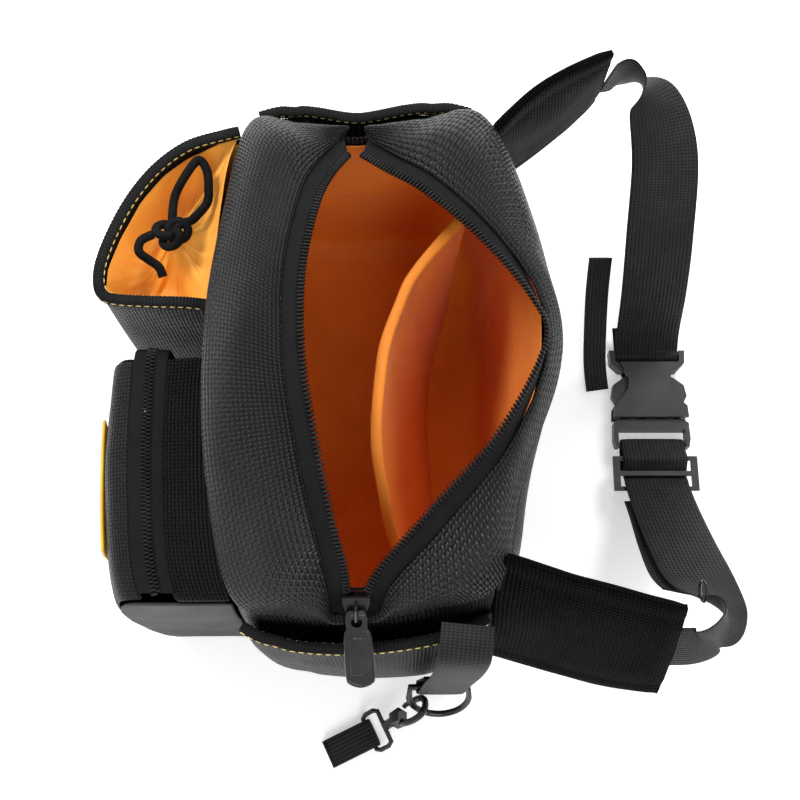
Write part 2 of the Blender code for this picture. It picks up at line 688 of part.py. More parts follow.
def puller(name, pivot, down, face, length, width, thick, neck):
    """A tag whose end bar lies under the bridge, with a shallow well."""
    down, face = V(down).normalized(), V(face).normalized()
    across = down.cross(face).normalized()
    w = width / 2
    outline = [(-1.2, -neck), (-1.2, neck), (8, neck), (11, w), (length - 4, w), (length - 1, w - 2.5),
               (length - 1, -w + 2.5), (length - 4, -w), (11, -w), (8, -neck)]
    tag = plate(name, outline, thick, pivot, down, across)
    eye = plate(name + "_eye", [(1.2, 1.5 - neck), (7.4, 1.5 - neck), (7.4, neck - 1.5), (1.2, neck - 1.5)],
                thick * 3, pivot, down, across)
    well = plate(name + "_well", [(13, -w + 2), (length - 4, -w + 2), (length - 4, w - 2), (13, w - 2)],
                 thick * 0.5, V(pivot) + face * (thick / 2), down, across)
    return hang(combine(tag, [eye, well], "DIFFERENCE"), pivot)


def zip_hardware():
    travel, up = V((0.72, 0, -0.69)), V((0.69, 0, 0.72))
    pivot = slider("main_slider", (122.8, -20, 148.6), -travel, up)
    puller("main_puller", pivot, (0.76, 0.05, -0.65), (0.65, 0, 0.76), 41, 13, 2.2, 4.4)
    far = front_point(-9.4, ZIP_TOP - 32, 35.0)
    pivot = slider("pocket_slider", far, (0, 0, -1), (-1, 0, 0), 0.9, whole=False)
    puller("pocket_puller", pivot, (-0.04, 0, -1), (-1, 0, 0.04), 26, 8, 1.6, 3.6)


# ---- near end: ring, hook, webbing --------------------------------------------
def near_end_hardware():
    strap("dring_webbing",
          [(131.5, 31, 151), (142, 30, 149), (148.5, 29, 141), (151.5, 27, 118), (152.8, 24, 84),
           (153.9, 22, 52), (153.7, 21, 42), (150.8, 21, 37.2), (147.7, 21, 42), (148.1, 22, 54),
           (149.5, 24, 84)],
          [(0, 1, 0)] * 11, width=25, steps=5)
    bar = V((150.8, 21, 42.2))
    e1, e2 = V((0, 1, 0)), V((0.5, 0, -0.866))
    points = [bar + e1 * a for a in (-15.5, -8, 0, 8, 15.5)]
    for k in range(1, 12):
        a = math.pi * k / 12
        points.append(bar + e1 * 16.2 * math.cos(a) + e2 * (8 + 17 * math.sin(a)))
    hang(tube("d_ring", points, 1.8, closed=True), bar)
    hub = bar + e2 * 8
    radial = (e1 * -0.72 + e2 * 0.69).normalized()
    grip = hub + e1 * (16.2 * -0.72) + e2 * (17 * 0.69)
    normal = e1.cross(e2).normalized()
    hook = [(13.5, 0.0), (11.5, -3.6), (7, -5.6), (1, -6.0), (-4.2, -4.4), (-6.2, 0), (-4.4, 4.4), (0, 6.0), (2.6, 5.9)]
    path = [grip + radial * a + normal * b for a, b in hook]
    body = tube("hook_body", path, 1.9, smooth=3)
    block = plate("hook_block", [(-2, -4.2), (5, -3.4), (5, 3.4), (-2, 4.2)], 7,
                  grip + radial * 13, radial, normal)
    hang(combine(body, [block], "UNION"), grip)
    gate = [grip + radial * a + normal * b for a, b in ((10.2, 5.4), (8.5, 6.2), (5.3, 6.1))]
    hang(tube("hook_gate", gate, 1.4), gate[0])
    base = grip + radial * 18.6
    swivel = tube("hook_swivel", [base, base + radial * 6.2], 2.7)
    flat = V((radial.x, radial.y, 0)).normalized()
    wide = V((0, 0, 1)).cross(flat)
    start = base + radial * 6.4
    ring = [(0, -9), (0, 0), (0, 9), (3, 10.5), (9, 10.5), (12, 9), (12, 0), (12, -9), (9, -10.5), (3, -10.5)]
    loop = tube("swivel_ring", [start + radial * a * 0.95 + wide * b for a, b in ring],
                1.4, closed=True)
    hang(combine(swivel, [loop], "UNION"), base)
    pin = start + radial * 11.4
    flat = V((radial.x, radial.y, -0.05)).normalized()
    up = V((0, 0, 1))
    strap("hook_webbing",
          [pin + flat * 26 + V((0, 0, -0.6)), pin + flat * 12 + up * -2.0, pin + flat * 1 + up * -2.7,
           pin - flat * 2.8, pin + flat * 1 + up * 2.7, pin + flat * 12 + up * 2.2,
           pin + flat * 24 + up * 2.4],
          [wide] * 7, width=16, steps=4)
    strap("grosgrain_tab",
          [(-128.6, 22, 138), (-129.4, 22, 148), (-128.6, 22, 154), (-127.4, 22, 158)],
          [(0, 1, 0)] * 4, width=11, thick=1.2)
    tube("end_ring", [(112 + 5 * math.cos(a), 146 + 0.6 * math.sin(a), 122 + 4 * math.sin(a))
                      for a in span(0, 2 * math.pi, 13)[:-1]], 0.8, closed=True, resolution=1)


def model():
    start()
    body()
    divider()
    mouth_half(True)
    mouth_half(False)
    drawstring_pocket()
    cord()
    zip_pocket()
    end_pocket("near_end_pocket", 1.03, 1.97, 7, 126, 9.5)
    end_pocket("far_end_pocket", 3.03, 3.97, 7, 147, 10)
    belt()
    buckle()
    zip_hardware()
    near_end_hardware()


model()
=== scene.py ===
# %% [markdown]
# # A tool pouch on a waist belt
#
# The real pouch is sewn from coarse black ballistic nylon with an orange
# lining. It has a wide zipped mouth, a drawstring pocket and a zip pocket on
# its front, a patch pocket at each end, and two padded wings that carry a
# webbing belt. This lesson dresses the measured model, piece by piece.

# %% Open the measured model
import json
import math
import random

import bpy
from mathutils import Matrix, Vector as V, noise


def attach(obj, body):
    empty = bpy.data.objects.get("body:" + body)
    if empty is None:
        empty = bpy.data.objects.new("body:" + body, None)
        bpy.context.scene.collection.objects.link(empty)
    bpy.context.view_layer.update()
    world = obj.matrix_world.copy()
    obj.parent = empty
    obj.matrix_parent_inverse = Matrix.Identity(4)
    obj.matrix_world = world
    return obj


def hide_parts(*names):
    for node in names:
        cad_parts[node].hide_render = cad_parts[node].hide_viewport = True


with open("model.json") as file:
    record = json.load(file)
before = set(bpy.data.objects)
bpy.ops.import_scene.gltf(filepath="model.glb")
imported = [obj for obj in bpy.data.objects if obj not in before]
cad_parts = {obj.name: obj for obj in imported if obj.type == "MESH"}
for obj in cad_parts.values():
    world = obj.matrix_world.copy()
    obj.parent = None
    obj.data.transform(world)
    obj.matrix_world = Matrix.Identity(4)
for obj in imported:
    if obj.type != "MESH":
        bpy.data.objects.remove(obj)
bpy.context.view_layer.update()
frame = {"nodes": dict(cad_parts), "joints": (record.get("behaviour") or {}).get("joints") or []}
nodes = frame["nodes"]
random.seed(7)
MM = 0.001
BAG = "bag"
print("pieces in the measured model:", len(nodes))

# %% [markdown]
# ## The camera
#
# A camera can be placed by eye or by an angle and a distance. An angle and a
# distance are easier to write down and to change, so the camera stands in the
# plane of the pouch's near end and looks steeply down over it.

# %% Set up the camera
TILT = math.radians(72)
camera = bpy.data.objects.new("camera", bpy.data.cameras.new("camera"))
camera.data.lens = 54
camera.data.sensor_width = 36
camera.location = (0.203, 0, 0.700)
ahead = V((-math.cos(TILT), 0, -math.sin(TILT)))
right = V((0, 1, 0))
up = right.cross(ahead)
camera.matrix_world = Matrix.Translation(camera.location) @ Matrix(
    (right, up, -ahead)).transposed().to_4x4()
bpy.context.scene.collection.objects.link(camera)
bpy.context.scene.camera = camera
print("camera looks along", [round(part, 2) for part in ahead])

# %% [markdown]
# ## Finishes
#
# Cloth shows its threads. They could be an image, but a pattern worked out
# from the piece's own UVs stays sharp at any distance and follows each fold,
# so every woven finish below counts threads along and across the cloth.

# %% Small helpers for shader nodes
UV_NAME = "threads"


def start_material(name, colour, rough, metal=0.0, sheen=0.0, coat=0.0, gloss=0.5):
    made = bpy.data.materials.new(name)
    made.use_nodes = True
    shader = made.node_tree.nodes["Principled BSDF"]
    shader.inputs["Base Color"].default_value = (*colour, 1)
    shader.inputs["Roughness"].default_value = rough
    shader.inputs["Metallic"].default_value = metal
    shader.inputs["Sheen Weight"].default_value = sheen
    shader.inputs["Sheen Roughness"].default_value = 0.4
    shader.inputs["Specular IOR Level"].default_value = gloss
    shader.inputs["Coat Weight"].default_value = coat
    return made, made.node_tree, shader


def add(tree, kind, **settings):
    node = tree.nodes.new(kind)
    for key, value in settings.items():
        setattr(node, key, value)
    return node


def maths(tree, operation, first, second=None):
    node = add(tree, "ShaderNodeMath", operation=operation)
    for socket, value in zip(node.inputs, (first, second)):
        if value is None:
            continue
        if isinstance(value, (int, float)):
            socket.default_value = value
        else:
            tree.links.new(value, socket)
    return node.outputs[0]


def ramp(tree, factor, low, high, start=0.0, end=1.0):
    """A colour that goes from low to high as the factor rises."""
    node = add(tree, "ShaderNodeValToRGB")
    tree.links.new(factor, node.inputs[0])
    for stop, place, colour in zip(node.color_ramp.elements, (start, end), (low, high)):
        stop.position, stop.color = place, (*colour, 1)
    return node.outputs[0]


def bump(tree, shader, heights):
    """Puts (height, distance in metres, strength) bumps on a shader, one on the other."""
    normal = None
    for height, distance, strength in heights:
        node = add(tree, "ShaderNodeBump")
        node.inputs["Strength"].default_value = strength
        node.inputs["Distance"].default_value = distance
        tree.links.new(height, node.inputs["Height"])
        if normal is not None:
            tree.links.new(normal, node.inputs["Normal"])
        normal = node.outputs[0]
    tree.links.new(normal, shader.inputs["Normal"])


def object_noise(tree, scale, detail=2.0):
    place = add(tree, "ShaderNodeTexCoord")
    cloud = add(tree, "ShaderNodeTexNoise")
    cloud.inputs["Scale"].default_value = scale
    cloud.inputs["Detail"].default_value = detail
    tree.links.new(place.outputs["Object"], cloud.inputs["Vector"])
    return cloud.outputs[0]


# %% Woven finishes
def threads(tree, pitch_u, pitch_v, turn=0.0):
    """Distance along and across the cloth, counted in threads."""
    uv = add(tree, "ShaderNodeUVMap", uv_map=UV_NAME)
    mapping = add(tree, "ShaderNodeMapping")
    mapping.inputs["Rotation"].default_value = (0, 0, turn)
    mapping.inputs["Scale"].default_value = (1 / pitch_u, 1 / pitch_v, 1)
    tree.links.new(uv.outputs[0], mapping.inputs[0])
    split = add(tree, "ShaderNodeSeparateXYZ")
    tree.links.new(mapping.outputs[0], split.inputs[0])
    return mapping.outputs[0], split.outputs[0], split.outputs[1]


def hump(tree, count):
    """A rounded thread between two whole counts."""
    return maths(tree, "ABSOLUTE", maths(tree, "SINE", maths(tree, "MULTIPLY", count, math.pi)))


def woven(name, dark, light, pitch, depth, rough, sheen, turn=0.0, folds=0.0, gloss=0.35):
    """A plain weave: warp and weft threads take turns on top."""
    made, tree, shader = start_material(name, light, rough, sheen=sheen, gloss=gloss)
    place, along, across = threads(tree, pitch, pitch, turn)
    warp, weft = hump(tree, along), hump(tree, across)
    checks = add(tree, "ShaderNodeTexChecker")
    checks.inputs["Scale"].default_value = 1
    tree.links.new(place, checks.inputs["Vector"])
    over = maths(tree, "MULTIPLY", checks.outputs["Fac"], maths(tree, "SUBTRACT", warp, weft))
    over = maths(tree, "ADD", over, weft)
    pillow = maths(tree, "MULTIPLY", warp, weft)
    height = maths(tree, "ADD", maths(tree, "MULTIPLY", over, 0.45),
                   maths(tree, "MULTIPLY", pillow, 0.55))
    # Painted shade: the colour is darkest in the dips between threads and lightest on their tops; the
    # noise adds a random tone.
    dip_shade_and_tone = maths(tree, "MULTIPLY", height, maths(tree, "ADD", object_noise(tree, 60), 0.5))
    tree.links.new(ramp(tree, dip_shade_and_tone, dark, light), shader.inputs["Base Color"])
    wear = maths(tree, "MULTIPLY", object_noise(tree, 35, 4), 0.3)
    tree.links.new(maths(tree, "ADD", wear, rough - 0.15), shader.inputs["Roughness"])
    layers = [(height, depth, 0.9)]
    if folds:
        layers.insert(0, (object_noise(tree, 42, 3), folds, 0.5))
    bump(tree, shader, layers)
    return made


def ribbed(name, dark, light, pitch, depth, rough, sheen, fine=0.0009):
    """Tape and webbing: strong ribs across the length, fine threads along it."""
    made, tree, shader = start_material(name, light, rough, sheen=sheen, gloss=0.08)
    _, along, across = threads(tree, pitch, fine)
    rib, thread = hump(tree, along), hump(tree, across)
    height = maths(tree, "ADD", maths(tree, "MULTIPLY", rib, 0.5),
                   maths(tree, "MULTIPLY", thread, 0.5))
    # Painted shade: the colour is darkest between the ribs and threads and lightest on their tops;
    # the noise adds a random tone.
    dip_shade_and_tone = maths(tree, "MULTIPLY", height, maths(tree, "ADD", object_noise(tree, 90), 0.5))
    tree.links.new(ramp(tree, dip_shade_and_tone, dark, light), shader.inputs["Base Color"])
    bump(tree, shader, [(height, depth, 0.8)])
    return made


def plain(name, colour, rough, grain, size, metal=0.0, coat=0.0, wear=0.0,
          gloss=0.35):
    """Moulded or plated finish: a fine grain, uneven gloss and an uneven tone."""
    made, tree, shader = start_material(name, colour, rough, metal=metal, coat=coat, gloss=gloss)
    cloud = object_noise(tree, size, 4)
    patches = object_noise(tree, 55, 3)
    bright = tuple(min(1, part * 1.6 + 0.01) for part in colour)
    tree.links.new(ramp(tree, patches, colour, bright, 0.35, 0.8), shader.inputs["Base Color"])
    gloss = maths(tree, "ADD", maths(tree, "MULTIPLY", patches, 0.25), rough - 0.12 + wear)
    tree.links.new(gloss, shader.inputs["Roughness"])
    bump(tree, shader, [(cloud, grain, 0.5)])
    return made


BLACK, GREY = (0.0008, 0.0008, 0.0010), (0.008, 0.008, 0.009)
FINISH = {
    "ballistic": woven("ballistic", BLACK, (0.014, 0.014, 0.015), 0.0021, 0.0016, 0.34, 0.0,
                       gloss=0.24),
    # The wings are the same ballistic nylon. This darker, less glossy copy paints shade on them,
    # because the lamps light their sloping faces too brightly.
    "wing_ballistic_painted_shade": woven("wing_ballistic_painted_shade", BLACK, (0.0040, 0.0040, 0.0045), 0.0020, 0.0014, 0.55,
                        0.0, gloss=0.02),
    "ballistic_square": woven("ballistic_square", BLACK, GREY, 0.0019, 0.0012, 0.40, 0.0,
                              gloss=0.14),
    "lining": woven("lining", (0.72, 0.17, 0.010), (1.0, 0.34, 0.035), 0.00055, 0.00008, 0.5, 0.1,
                    folds=0.004),
    # The collar is the lining's orange cloth. This lighter, yellower copy paints light on it, lifting
    # the gathered folds out of the pocket's shade.
    "collar": woven("collar", (1.0, 0.34, 0.02), (1.0, 0.55, 0.10), 0.0005, 0.00007, 0.45, 0.1,
                    folds=0.006),
    "webbing": ribbed("webbing", (0.001, 0.001, 0.001), (0.026, 0.026, 0.028), 0.0014, 0.0006,
                      0.46, 0.0, 0.0021),
    "binding": ribbed("binding", (0.001, 0.001, 0.001), (0.015, 0.015, 0.016), 0.0018, 0.0004,
                      0.6, 0.0),
    "zip_tape": ribbed("zip_tape", (0.002, 0.002, 0.002), (0.010, 0.010, 0.011), 0.0009, 0.0002,
                       0.6, 0.0, 0.0006),
    "gusset": woven("gusset", (0.004, 0.003, 0.004), (0.022, 0.019, 0.025), 0.0009, 0.0002,
                    0.6, 0.0),
    "zip_coil": plain("zip_coil", (0.0035, 0.0035, 0.004), 0.38, 0.00003, 900,
                      gloss=0.16),
    "metal": plain("metal", (0.008, 0.008, 0.009), 0.24, 0.00003, 500, metal=0.3, coat=0.2),
    "plastic": plain("plastic", (0.018, 0.018, 0.019), 0.42, 0.00005, 1400),
    "cord": plain("cord", (0.0018, 0.0018, 0.0020), 0.66, 0.0009, 700, gloss=0.05),
    "thread": plain("thread", (0.86, 0.60, 0.20), 0.6, 0.00005, 1500),
    "rubber": plain("rubber", (0.83, 0.40, 0.03), 0.45, 0.00004, 700),
}
print("finishes:", ", ".join(FINISH))

# %% [markdown]
# ## Making cloth
#
# A sheet could be a flat grid that a simulation drops into place. These
# panels are sewn all round, so they hardly move: a grid of points on the
# sewn shape, a thickness and one subdivision give the same look at once.
# Slow noise then moves each point by up to a millimetre, as a soft panel
# sags between its seams. It depends on place alone, so seams stay together.

# %% Curves and the wall of the pouch
RIM_LOOP = [
    (-119, -76, 163), (-60, -85, 176), (0, -89, 184), (62, -87, 178),
    (117, -77, 150), (125, -52, 143), (127, -20, 141), (122, 14, 144),
    (112, 45, 153), (66, 55, 160), (0, 73, 158), (-62, 65, 164),
    (-121, 42, 165), (-121, 12, 161), (-114, -22, 161), (-119, -52, 161),
]
FOOT_LOOP = [
    (-122, -73, 4), (-62, -80, 4), (0, -81, 4), (66, -80, 4),
    (125, -73, 4), (130, -42, 4), (132, -14, 4), (131, 14, 4),
    (127, 43, 4), (66, 49, 4), (0, 50, 4), (-62, 49, 4),
    (-120, 43, 4), (-129, 14, 4), (-131, -14, 4), (-129, -42, 4),
]
FRONT_CHAIN = [
    (-101, -26, 164), (-84, -34, 174), (-63, -40, 183), (-25, -45, 192),
    (16, -44, 196), (53, -38, 193), (90, -30, 179), (109, -25, 162),
    (119, -24, 150),
]
BACK_CHAIN = [
    (-101, -19, 164), (-88, -6, 172), (-73, 12, 179), (-45, 38, 186),
    (-12, 61, 190), (10, 66, 190), (50, 45, 186), (83, 15, 177),
    (108, -9, 162), (119, -16, 150),
]
BULGE, WALL, GAP = 4.0, 2.4, 0.4


def catmull(p0, p1, p2, p3, t):
    p0, p1, p2, p3 = V(p0), V(p1), V(p2), V(p3)
    return 0.5 * (2 * p1 + (p2 - p0) * t + (2 * p0 - 5 * p1 + 4 * p2 - p3) * t**2
                  + (3 * p1 - p0 - 3 * p2 + p3) * t**3)


def loop_point(points, s):
    """A point on a closed curve, s from 0 to 4 right round."""
    n = len(points)
    x = (s % 4) * n / 4
    i = int(x)
    return catmull(*(points[(i + k - 1) % n] for k in range(4)), x - i)


def open_spline(points, t):
    n = len(points) - 1
    x = min(max(t, 0), 1) * n
    i = min(int(x), n - 1)
    return catmull(*(points[min(max(i + k - 1, 0), n)] for k in range(4)), x - i)


def span(low, high, n):
    return [low + (high - low) * k / (n - 1) for k in range(n)]


def wall_middle(s, v):
    low, high = loop_point(FOOT_LOOP, s), loop_point(RIM_LOOP, s)
    a = loop_point(FOOT_LOOP, s + 0.02) * (1 - v) + loop_point(RIM_LOOP, s + 0.02) * v
    p = low * (1 - v) + high * v
    run = a - p
    out = V((run.y, -run.x, 0)).normalized()
    return p + out * BULGE * math.sin(math.pi * min(max(v, 0), 1))


def wall(s, v, inset=0.0):
    """A point of the pouch's wall: s runs round, v from foot to rim."""
    e = 0.01
    along = wall_middle(s + e, v) - wall_middle(s - e, v)
    rise = wall_middle(s, min(v + e, 1)) - wall_middle(s, max(v - e, 0))
    return wall_middle(s, v) - along.cross(rise).normalized() * inset


def height(s, z):
    return (z - 4) / (loop_point(RIM_LOOP, s).z - 4)


def front_point(x, z, out):
    """A point that far out from the front wall."""
    low, high = 0.0, 1.0
    for _ in range(12):
        s = (low + high) / 2
        low, high = (s, high) if wall_middle(s, height(s, z)).x < x else (low, s)
    return V((x, wall_middle(s, height(s, z)).y - out, z))


def along_path(path, step):
    """Points an even step apart on a smooth curve through the path."""
    fine = [open_spline(path, k / 400) for k in range(401)]
    made, gone = [fine[0]], 0.0
    for a, b in zip(fine, fine[1:]):
        size = (b - a).length
        while gone + size >= step:
            share = (step - gone) / size
            a = a.lerp(b, share)
            made.append(a)
            size, gone = (b - a).length, 0.0
        gone += size
    return made


# %% Sheets, lofts, straps and small repeated pieces
def sag(p, amount=1.0):
    """How far a soft panel gives way at a place."""
    slow = noise.noise_vector(p / 42) * 1.1
    quick = noise.noise_vector(p / 15) * 0.35
    return p + (slow + quick) * amount


def steps_along(points):
    """The distance gone at each point, in metres."""
    gone = [0.0]
    for a, b in zip(points, points[1:]):
        gone.append(gone[-1] + (b - a).length * MM)
    return gone


def file_piece(obj, finish, body=BAG, stands_for=()):
    bpy.context.scene.collection.objects.link(obj)
    obj.data.materials.append(FINISH[finish])
    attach(obj, body)
    if stands_for:
        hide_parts(*stands_for)
    return obj


def grid_mesh(name, rows, closed, ends=()):
    """A mesh on rows of points in millimetres. Its UVs are lengths of cloth."""
    n, m = len(rows), len(rows[0])
    turns = n if closed else n - 1
    faces = [(i * m + j, (i + 1) % n * m + j, (i + 1) % n * m + j + 1, i * m + j + 1)
             for i in range(turns) for j in range(m - 1)]
    mesh = bpy.data.meshes.new(name)
    mesh.from_pydata([V(p) * MM for row in rows for p in row], [], faces + list(ends))
    us = steps_along([row[m // 2] for row in rows + rows[:1]])
    vs = steps_along(rows[n // 2])
    layer = mesh.uv_layers.new(name=UV_NAME)
    for k in range(len(faces)):
        i, j = divmod(k, m - 1)
        corners = ((i, j), (i + 1, j), (i + 1, j + 1), (i, j + 1))
        for loop, (a, b) in zip(mesh.polygons[k].loop_indices, corners):
            layer.data[loop].uv = (us[a], vs[b])
    for face in mesh.polygons:
        face.use_smooth = True
    return mesh


def finish_shape(obj, thick=None, offset=0.0, levels=1):
    if thick:
        skin = obj.modifiers.new("thickness", "SOLIDIFY")
        skin.thickness, skin.offset = thick * MM, offset
    if levels:
        soft = obj.modifiers.new("soften", "SUBSURF")
        soft.levels = soft.render_levels = levels
    return obj


def cloth(name, rows, thick, finish, stands_for=(), body=BAG, offset=0.0, closed=False,
          levels=1, soft=1.0):
    """A sewn sheet: rows of points, a thickness, and one subdivision."""
    rows = [[sag(V(p), soft) for p in row] for row in rows]
    obj = bpy.data.objects.new(name, grid_mesh(name, rows, closed))
    finish_shape(obj, thick, offset, levels)
    return file_piece(obj, finish, body, stands_for)


def stuffed(name, sections, finish, stands_for=(), body=BAG, levels=1, soft=1.0):
    """A closed padded form through rings of points."""
    rows = [[sag(V(p), soft) for p in ring] + [sag(V(ring[0]), soft)] for ring in sections]
    m = len(rows[0])
    ends = [tuple(range(m - 1))[::-1], tuple((len(rows) - 1) * m + k for k in range(m - 1))]
    mesh = grid_mesh(name, rows, False, ends)
    obj = bpy.data.objects.new(name, mesh)
    weld = obj.modifiers.new("close the ring", "WELD")
    weld.merge_threshold = 0.00001
    finish_shape(obj, levels=levels)
    return file_piece(obj, finish, body, stands_for)


def turned_frames(centres, sides):
    last = len(centres) - 1
    for i, centre in enumerate(centres):
        travel = (centres[min(i + 1, last)] - centres[max(i - 1, 0)]).normalized()
        side = V(sides[i] if isinstance(sides, list) else sides)
        side = (side - travel * side.dot(travel)).normalized()
        yield centre, side, travel.cross(side)


def strap(name, path, sides, width, finish="webbing", stands_for=(), body=BAG, thick=1.6,
          steps=8):
    """Webbing: a flat band whose edges are a little thinner than its middle."""
    n = (len(path) - 1) * steps
    centres = [open_spline(path, k / n) for k in range(n + 1)]
    turned = [open_spline(sides, k / n) for k in range(n + 1)]
    half, t = width / 2, thick / 2
    ring = [(-half, 0), (-half + 0.5, t * 0.8), (-half * 0.5, t), (0, t), (half * 0.5, t),
            (half - 0.5, t * 0.8), (half, 0), (half - 0.5, -t * 0.8), (half * 0.5, -t), (0, -t),
            (-half * 0.5, -t), (-half + 0.5, -t * 0.8)]
    sections = [[centre + side * a + up * b for a, b in ring]
                for centre, side, up in turned_frames(centres, turned)]
    return stuffed(name, sections, finish, stands_for, body, levels=1, soft=0.0)


def repeated(name, shapes, finish, body=BAG, stands_for=()):
    """Many small closed forms in one mesh: (centre, three half axes) each."""
    points, faces = [], []
    around, levels = 8, 4
    for centre, a, b, c in shapes:
        first = len(points)
        points += [centre - c, centre + c]
        for k in range(1, levels):
            turn = math.pi * k / levels
            for j in range(around):
                w = 2 * math.pi * j / around
                ring = a * math.cos(w) + b * math.sin(w)
                points.append(centre - c * math.cos(turn) + ring * math.sin(turn))
        for j in range(around):
            j1 = (j + 1) % around
            faces.append((first, first + 2 + j1, first + 2 + j))
            for k in range(levels - 2):
                low, top = first + 2 + k * around, first + 2 + (k + 1) * around
                faces.append((low + j, low + j1, top + j1, top + j))
            last = first + 2 + (levels - 2) * around
            faces.append((last + j, last + j1, first + 1))
    mesh = bpy.data.meshes.new(name)
    mesh.from_pydata([p * MM for p in points], [], faces)
    for face in mesh.polygons:
        face.use_smooth = True
    obj = bpy.data.objects.new(name, mesh)
    return file_piece(obj, finish, body, stands_for)


def stitches(name, path, out, body=BAG, pitch=4.2, size=1.5, radius=0.34, soft=1.0):
    """A row of thread stitches that lie on the cloth. out is the way off it."""
    shapes = []
    points = along_path(path, pitch)
    for k, (a, b) in enumerate(zip(points, points[1:])):
        travel = (b - a).normalized()
        away = V(out[min(int(k / len(points) * len(out)), len(out) - 1)]
                 if isinstance(out, list) else out)
        away = (away - travel * away.dot(travel)).normalized()
        centre = sag(a.lerp(b, 0.5), soft) + away * 0.15
        shapes.append((centre, away * radius, travel.cross(away) * radius, travel * size))
    return repeated(name, shapes, "thread", body)


# %% [markdown]
# ## The drawstring's cord
#
# A round braided cord comes up through the gathered collar, is tied in one
# soft knot, and lies in a loop on the orange cloth with one short tail. A
# curve with a round bevel keeps its thickness even in the tightest bend.

# %% Lay the cord
CORD = 4.6
LOOP_PATH = [(-72, -115.5, 150), (-84, -114, 153), (-97, -108, 154), (-104, -103, 153),
             (-99, -99, 151), (-90, -98, 149), (-82, -99, 147), (-73, -106, 147)]
TAIL_PATH = [(-64, -125, 149), (-60, -130.5, 150), (-54, -131, 150), (-50, -126, 149),
             (-46.5, -121, 148), (-42, -119, 146)]


def cord_piece(name, path, stands_for):
    count = (len(path) - 1) * 8
    points = [open_spline(path, k / count) * MM for k in range(count + 1)]
    data = bpy.data.curves.new(name, "CURVE")
    data.dimensions = "3D"
    data.bevel_depth, data.bevel_resolution, data.use_fill_caps = CORD / 2 * MM, 4, True
    spline = data.splines.new("POLY")
    spline.points.add(count)
    for made, point in zip(spline.points, points):
        made.co = (*point, 1)
    spline.use_smooth = True
    obj = file_piece(bpy.data.objects.new(name, data), "cord", BAG, stands_for)
    return obj


cord_piece("cord_loop_braid", LOOP_PATH, ["cord_loop"])
cord_piece("cord_tail_braid", TAIL_PATH, ["cord_tail"])
print("cords laid")

bpy.context.view_layer.update()
# A tight little knot: two crossing turns of the same cord.
KNOT = V((-65.0, -115.5, 148.5))
turns = [KNOT + V(((4.2 + 2.6 * math.cos(3 * w)) * math.cos(2 * w) * 1.1,
                   (4.2 + 2.6 * math.cos(3 * w)) * math.sin(2 * w) * 1.25,
                   2.4 * math.sin(3 * w))) for w in span(0, 2 * math.pi, 97)[:-1]]


def wire(name, path, radius, finish, body=BAG, stands_for=(), closed=False):
    """A round wire along points in millimetres, as a mesh."""
    data = bpy.data.curves.new(name, "CURVE")
    data.dimensions = "3D"
    data.bevel_depth, data.bevel_resolution = radius * MM, 5
    data.use_fill_caps = not closed
    spline = data.splines.new("POLY")
    spline.points.add(len(path) - 1)
    for made, point in zip(spline.points, path):
        made.co = (*(V(point) * MM), 1)
    spline.use_cyclic_u, spline.use_smooth = closed, True
    return file_piece(bpy.data.objects.new(name, data), finish, body, stands_for)


wire("cord_knot_braid", turns, CORD / 2, "cord", stands_for=["cord_knot"], closed=True)
neck = [open_spline(LOOP_PATH, 0.93), V(LOOP_PATH[-1]), KNOT + V((-4.5, 4.5, 1.0)), KNOT]
wire("cord_knot_neck", [open_spline(neck, k / 16) for k in range(17)], CORD / 2, "cord",
     stands_for=["cord_knot"])

# %% [markdown]
# ## Walls, base and lining
#
# Each wall is cut from the pouch's own surface, from foot to rim. The back is
# padded, so it stands further out, and its quilting dips in two long channels.

# %% Walls and lining
def wall_rows(s0, s1, across, out=0.0, levels=12):
    return [[wall(s, v, -out(s, v) if callable(out) else -out) for v in span(0, 1, levels)]
            for s in span(s0, s1, across)]


SEAM = 0.0005
cloth("front_wall", wall_rows(SEAM, 1 - SEAM, 36), WALL, "ballistic_square", ["front_panel"],
      offset=-1)
cloth("near_end_wall", wall_rows(1 + SEAM, 2 - SEAM, 22), WALL, "ballistic", ["near_end_panel"],
      offset=-1)
cloth("far_end_wall", wall_rows(3 + SEAM, 4 - SEAM, 22), WALL, "ballistic", ["far_end_panel"],
      offset=-1)


def quilted(s, v):
    """The back's padding, thin at its edges and along two channels."""
    edge = min(1, 9 * min(s - 2.05, 2.95 - s, v * 0.8, (1 - v) * 0.8) + 0.35)
    dips = sum(math.exp(-((v - place) / 0.03) ** 2) for place in (0.36, 0.68))
    return 5.0 * edge * (1 - 0.45 * dips)


padding = cloth("back_wall", wall_rows(2.05, 2.95, 30, quilted, 26), WALL, "ballistic",
                ["back_panel"], offset=-1)
for name, s in (("near_back_piping", 2.026), ("far_back_piping", 2.974)):
    cloth(name, wall_rows(s - 0.027, s + 0.027, 7, 1.5), 3.4, "binding",
          [name.replace("piping", "seam")], offset=-1)

around = span(0, 4, 73)[:-1]
foot = [loop_point(FOOT_LOOP, s) for s in around]
stuffed("base_board", [[V((p.x * k, p.y * k + 15 * (k - 1), z)) for p in foot]
                       for k, z in ((0.985, 0.0), (1.0, 0.6), (1.0, 3.0), (0.99, 3.6))],
        "ballistic_square", ["base_panel"], levels=0, soft=0.0)
LINING_LEVELS = (0.03, 0.12, 0.22, 0.34, 0.46, 0.58, 0.7, 0.82, 0.92, 0.975)
rows = []
for s in span(0, 4, 97)[:-1]:
    low = wall(s, LINING_LEVELS[0], 3.8)
    floor = [V((low.x * k, -15 + (low.y + 15) * k, low.z)) for k in (0.001, 0.4, 0.75)]
    rows.append(floor + [wall(s, v, 3.8) for v in LINING_LEVELS])
cloth("orange_lining", rows, 1.0, "lining", ["main_lining"], offset=-1, closed=True)


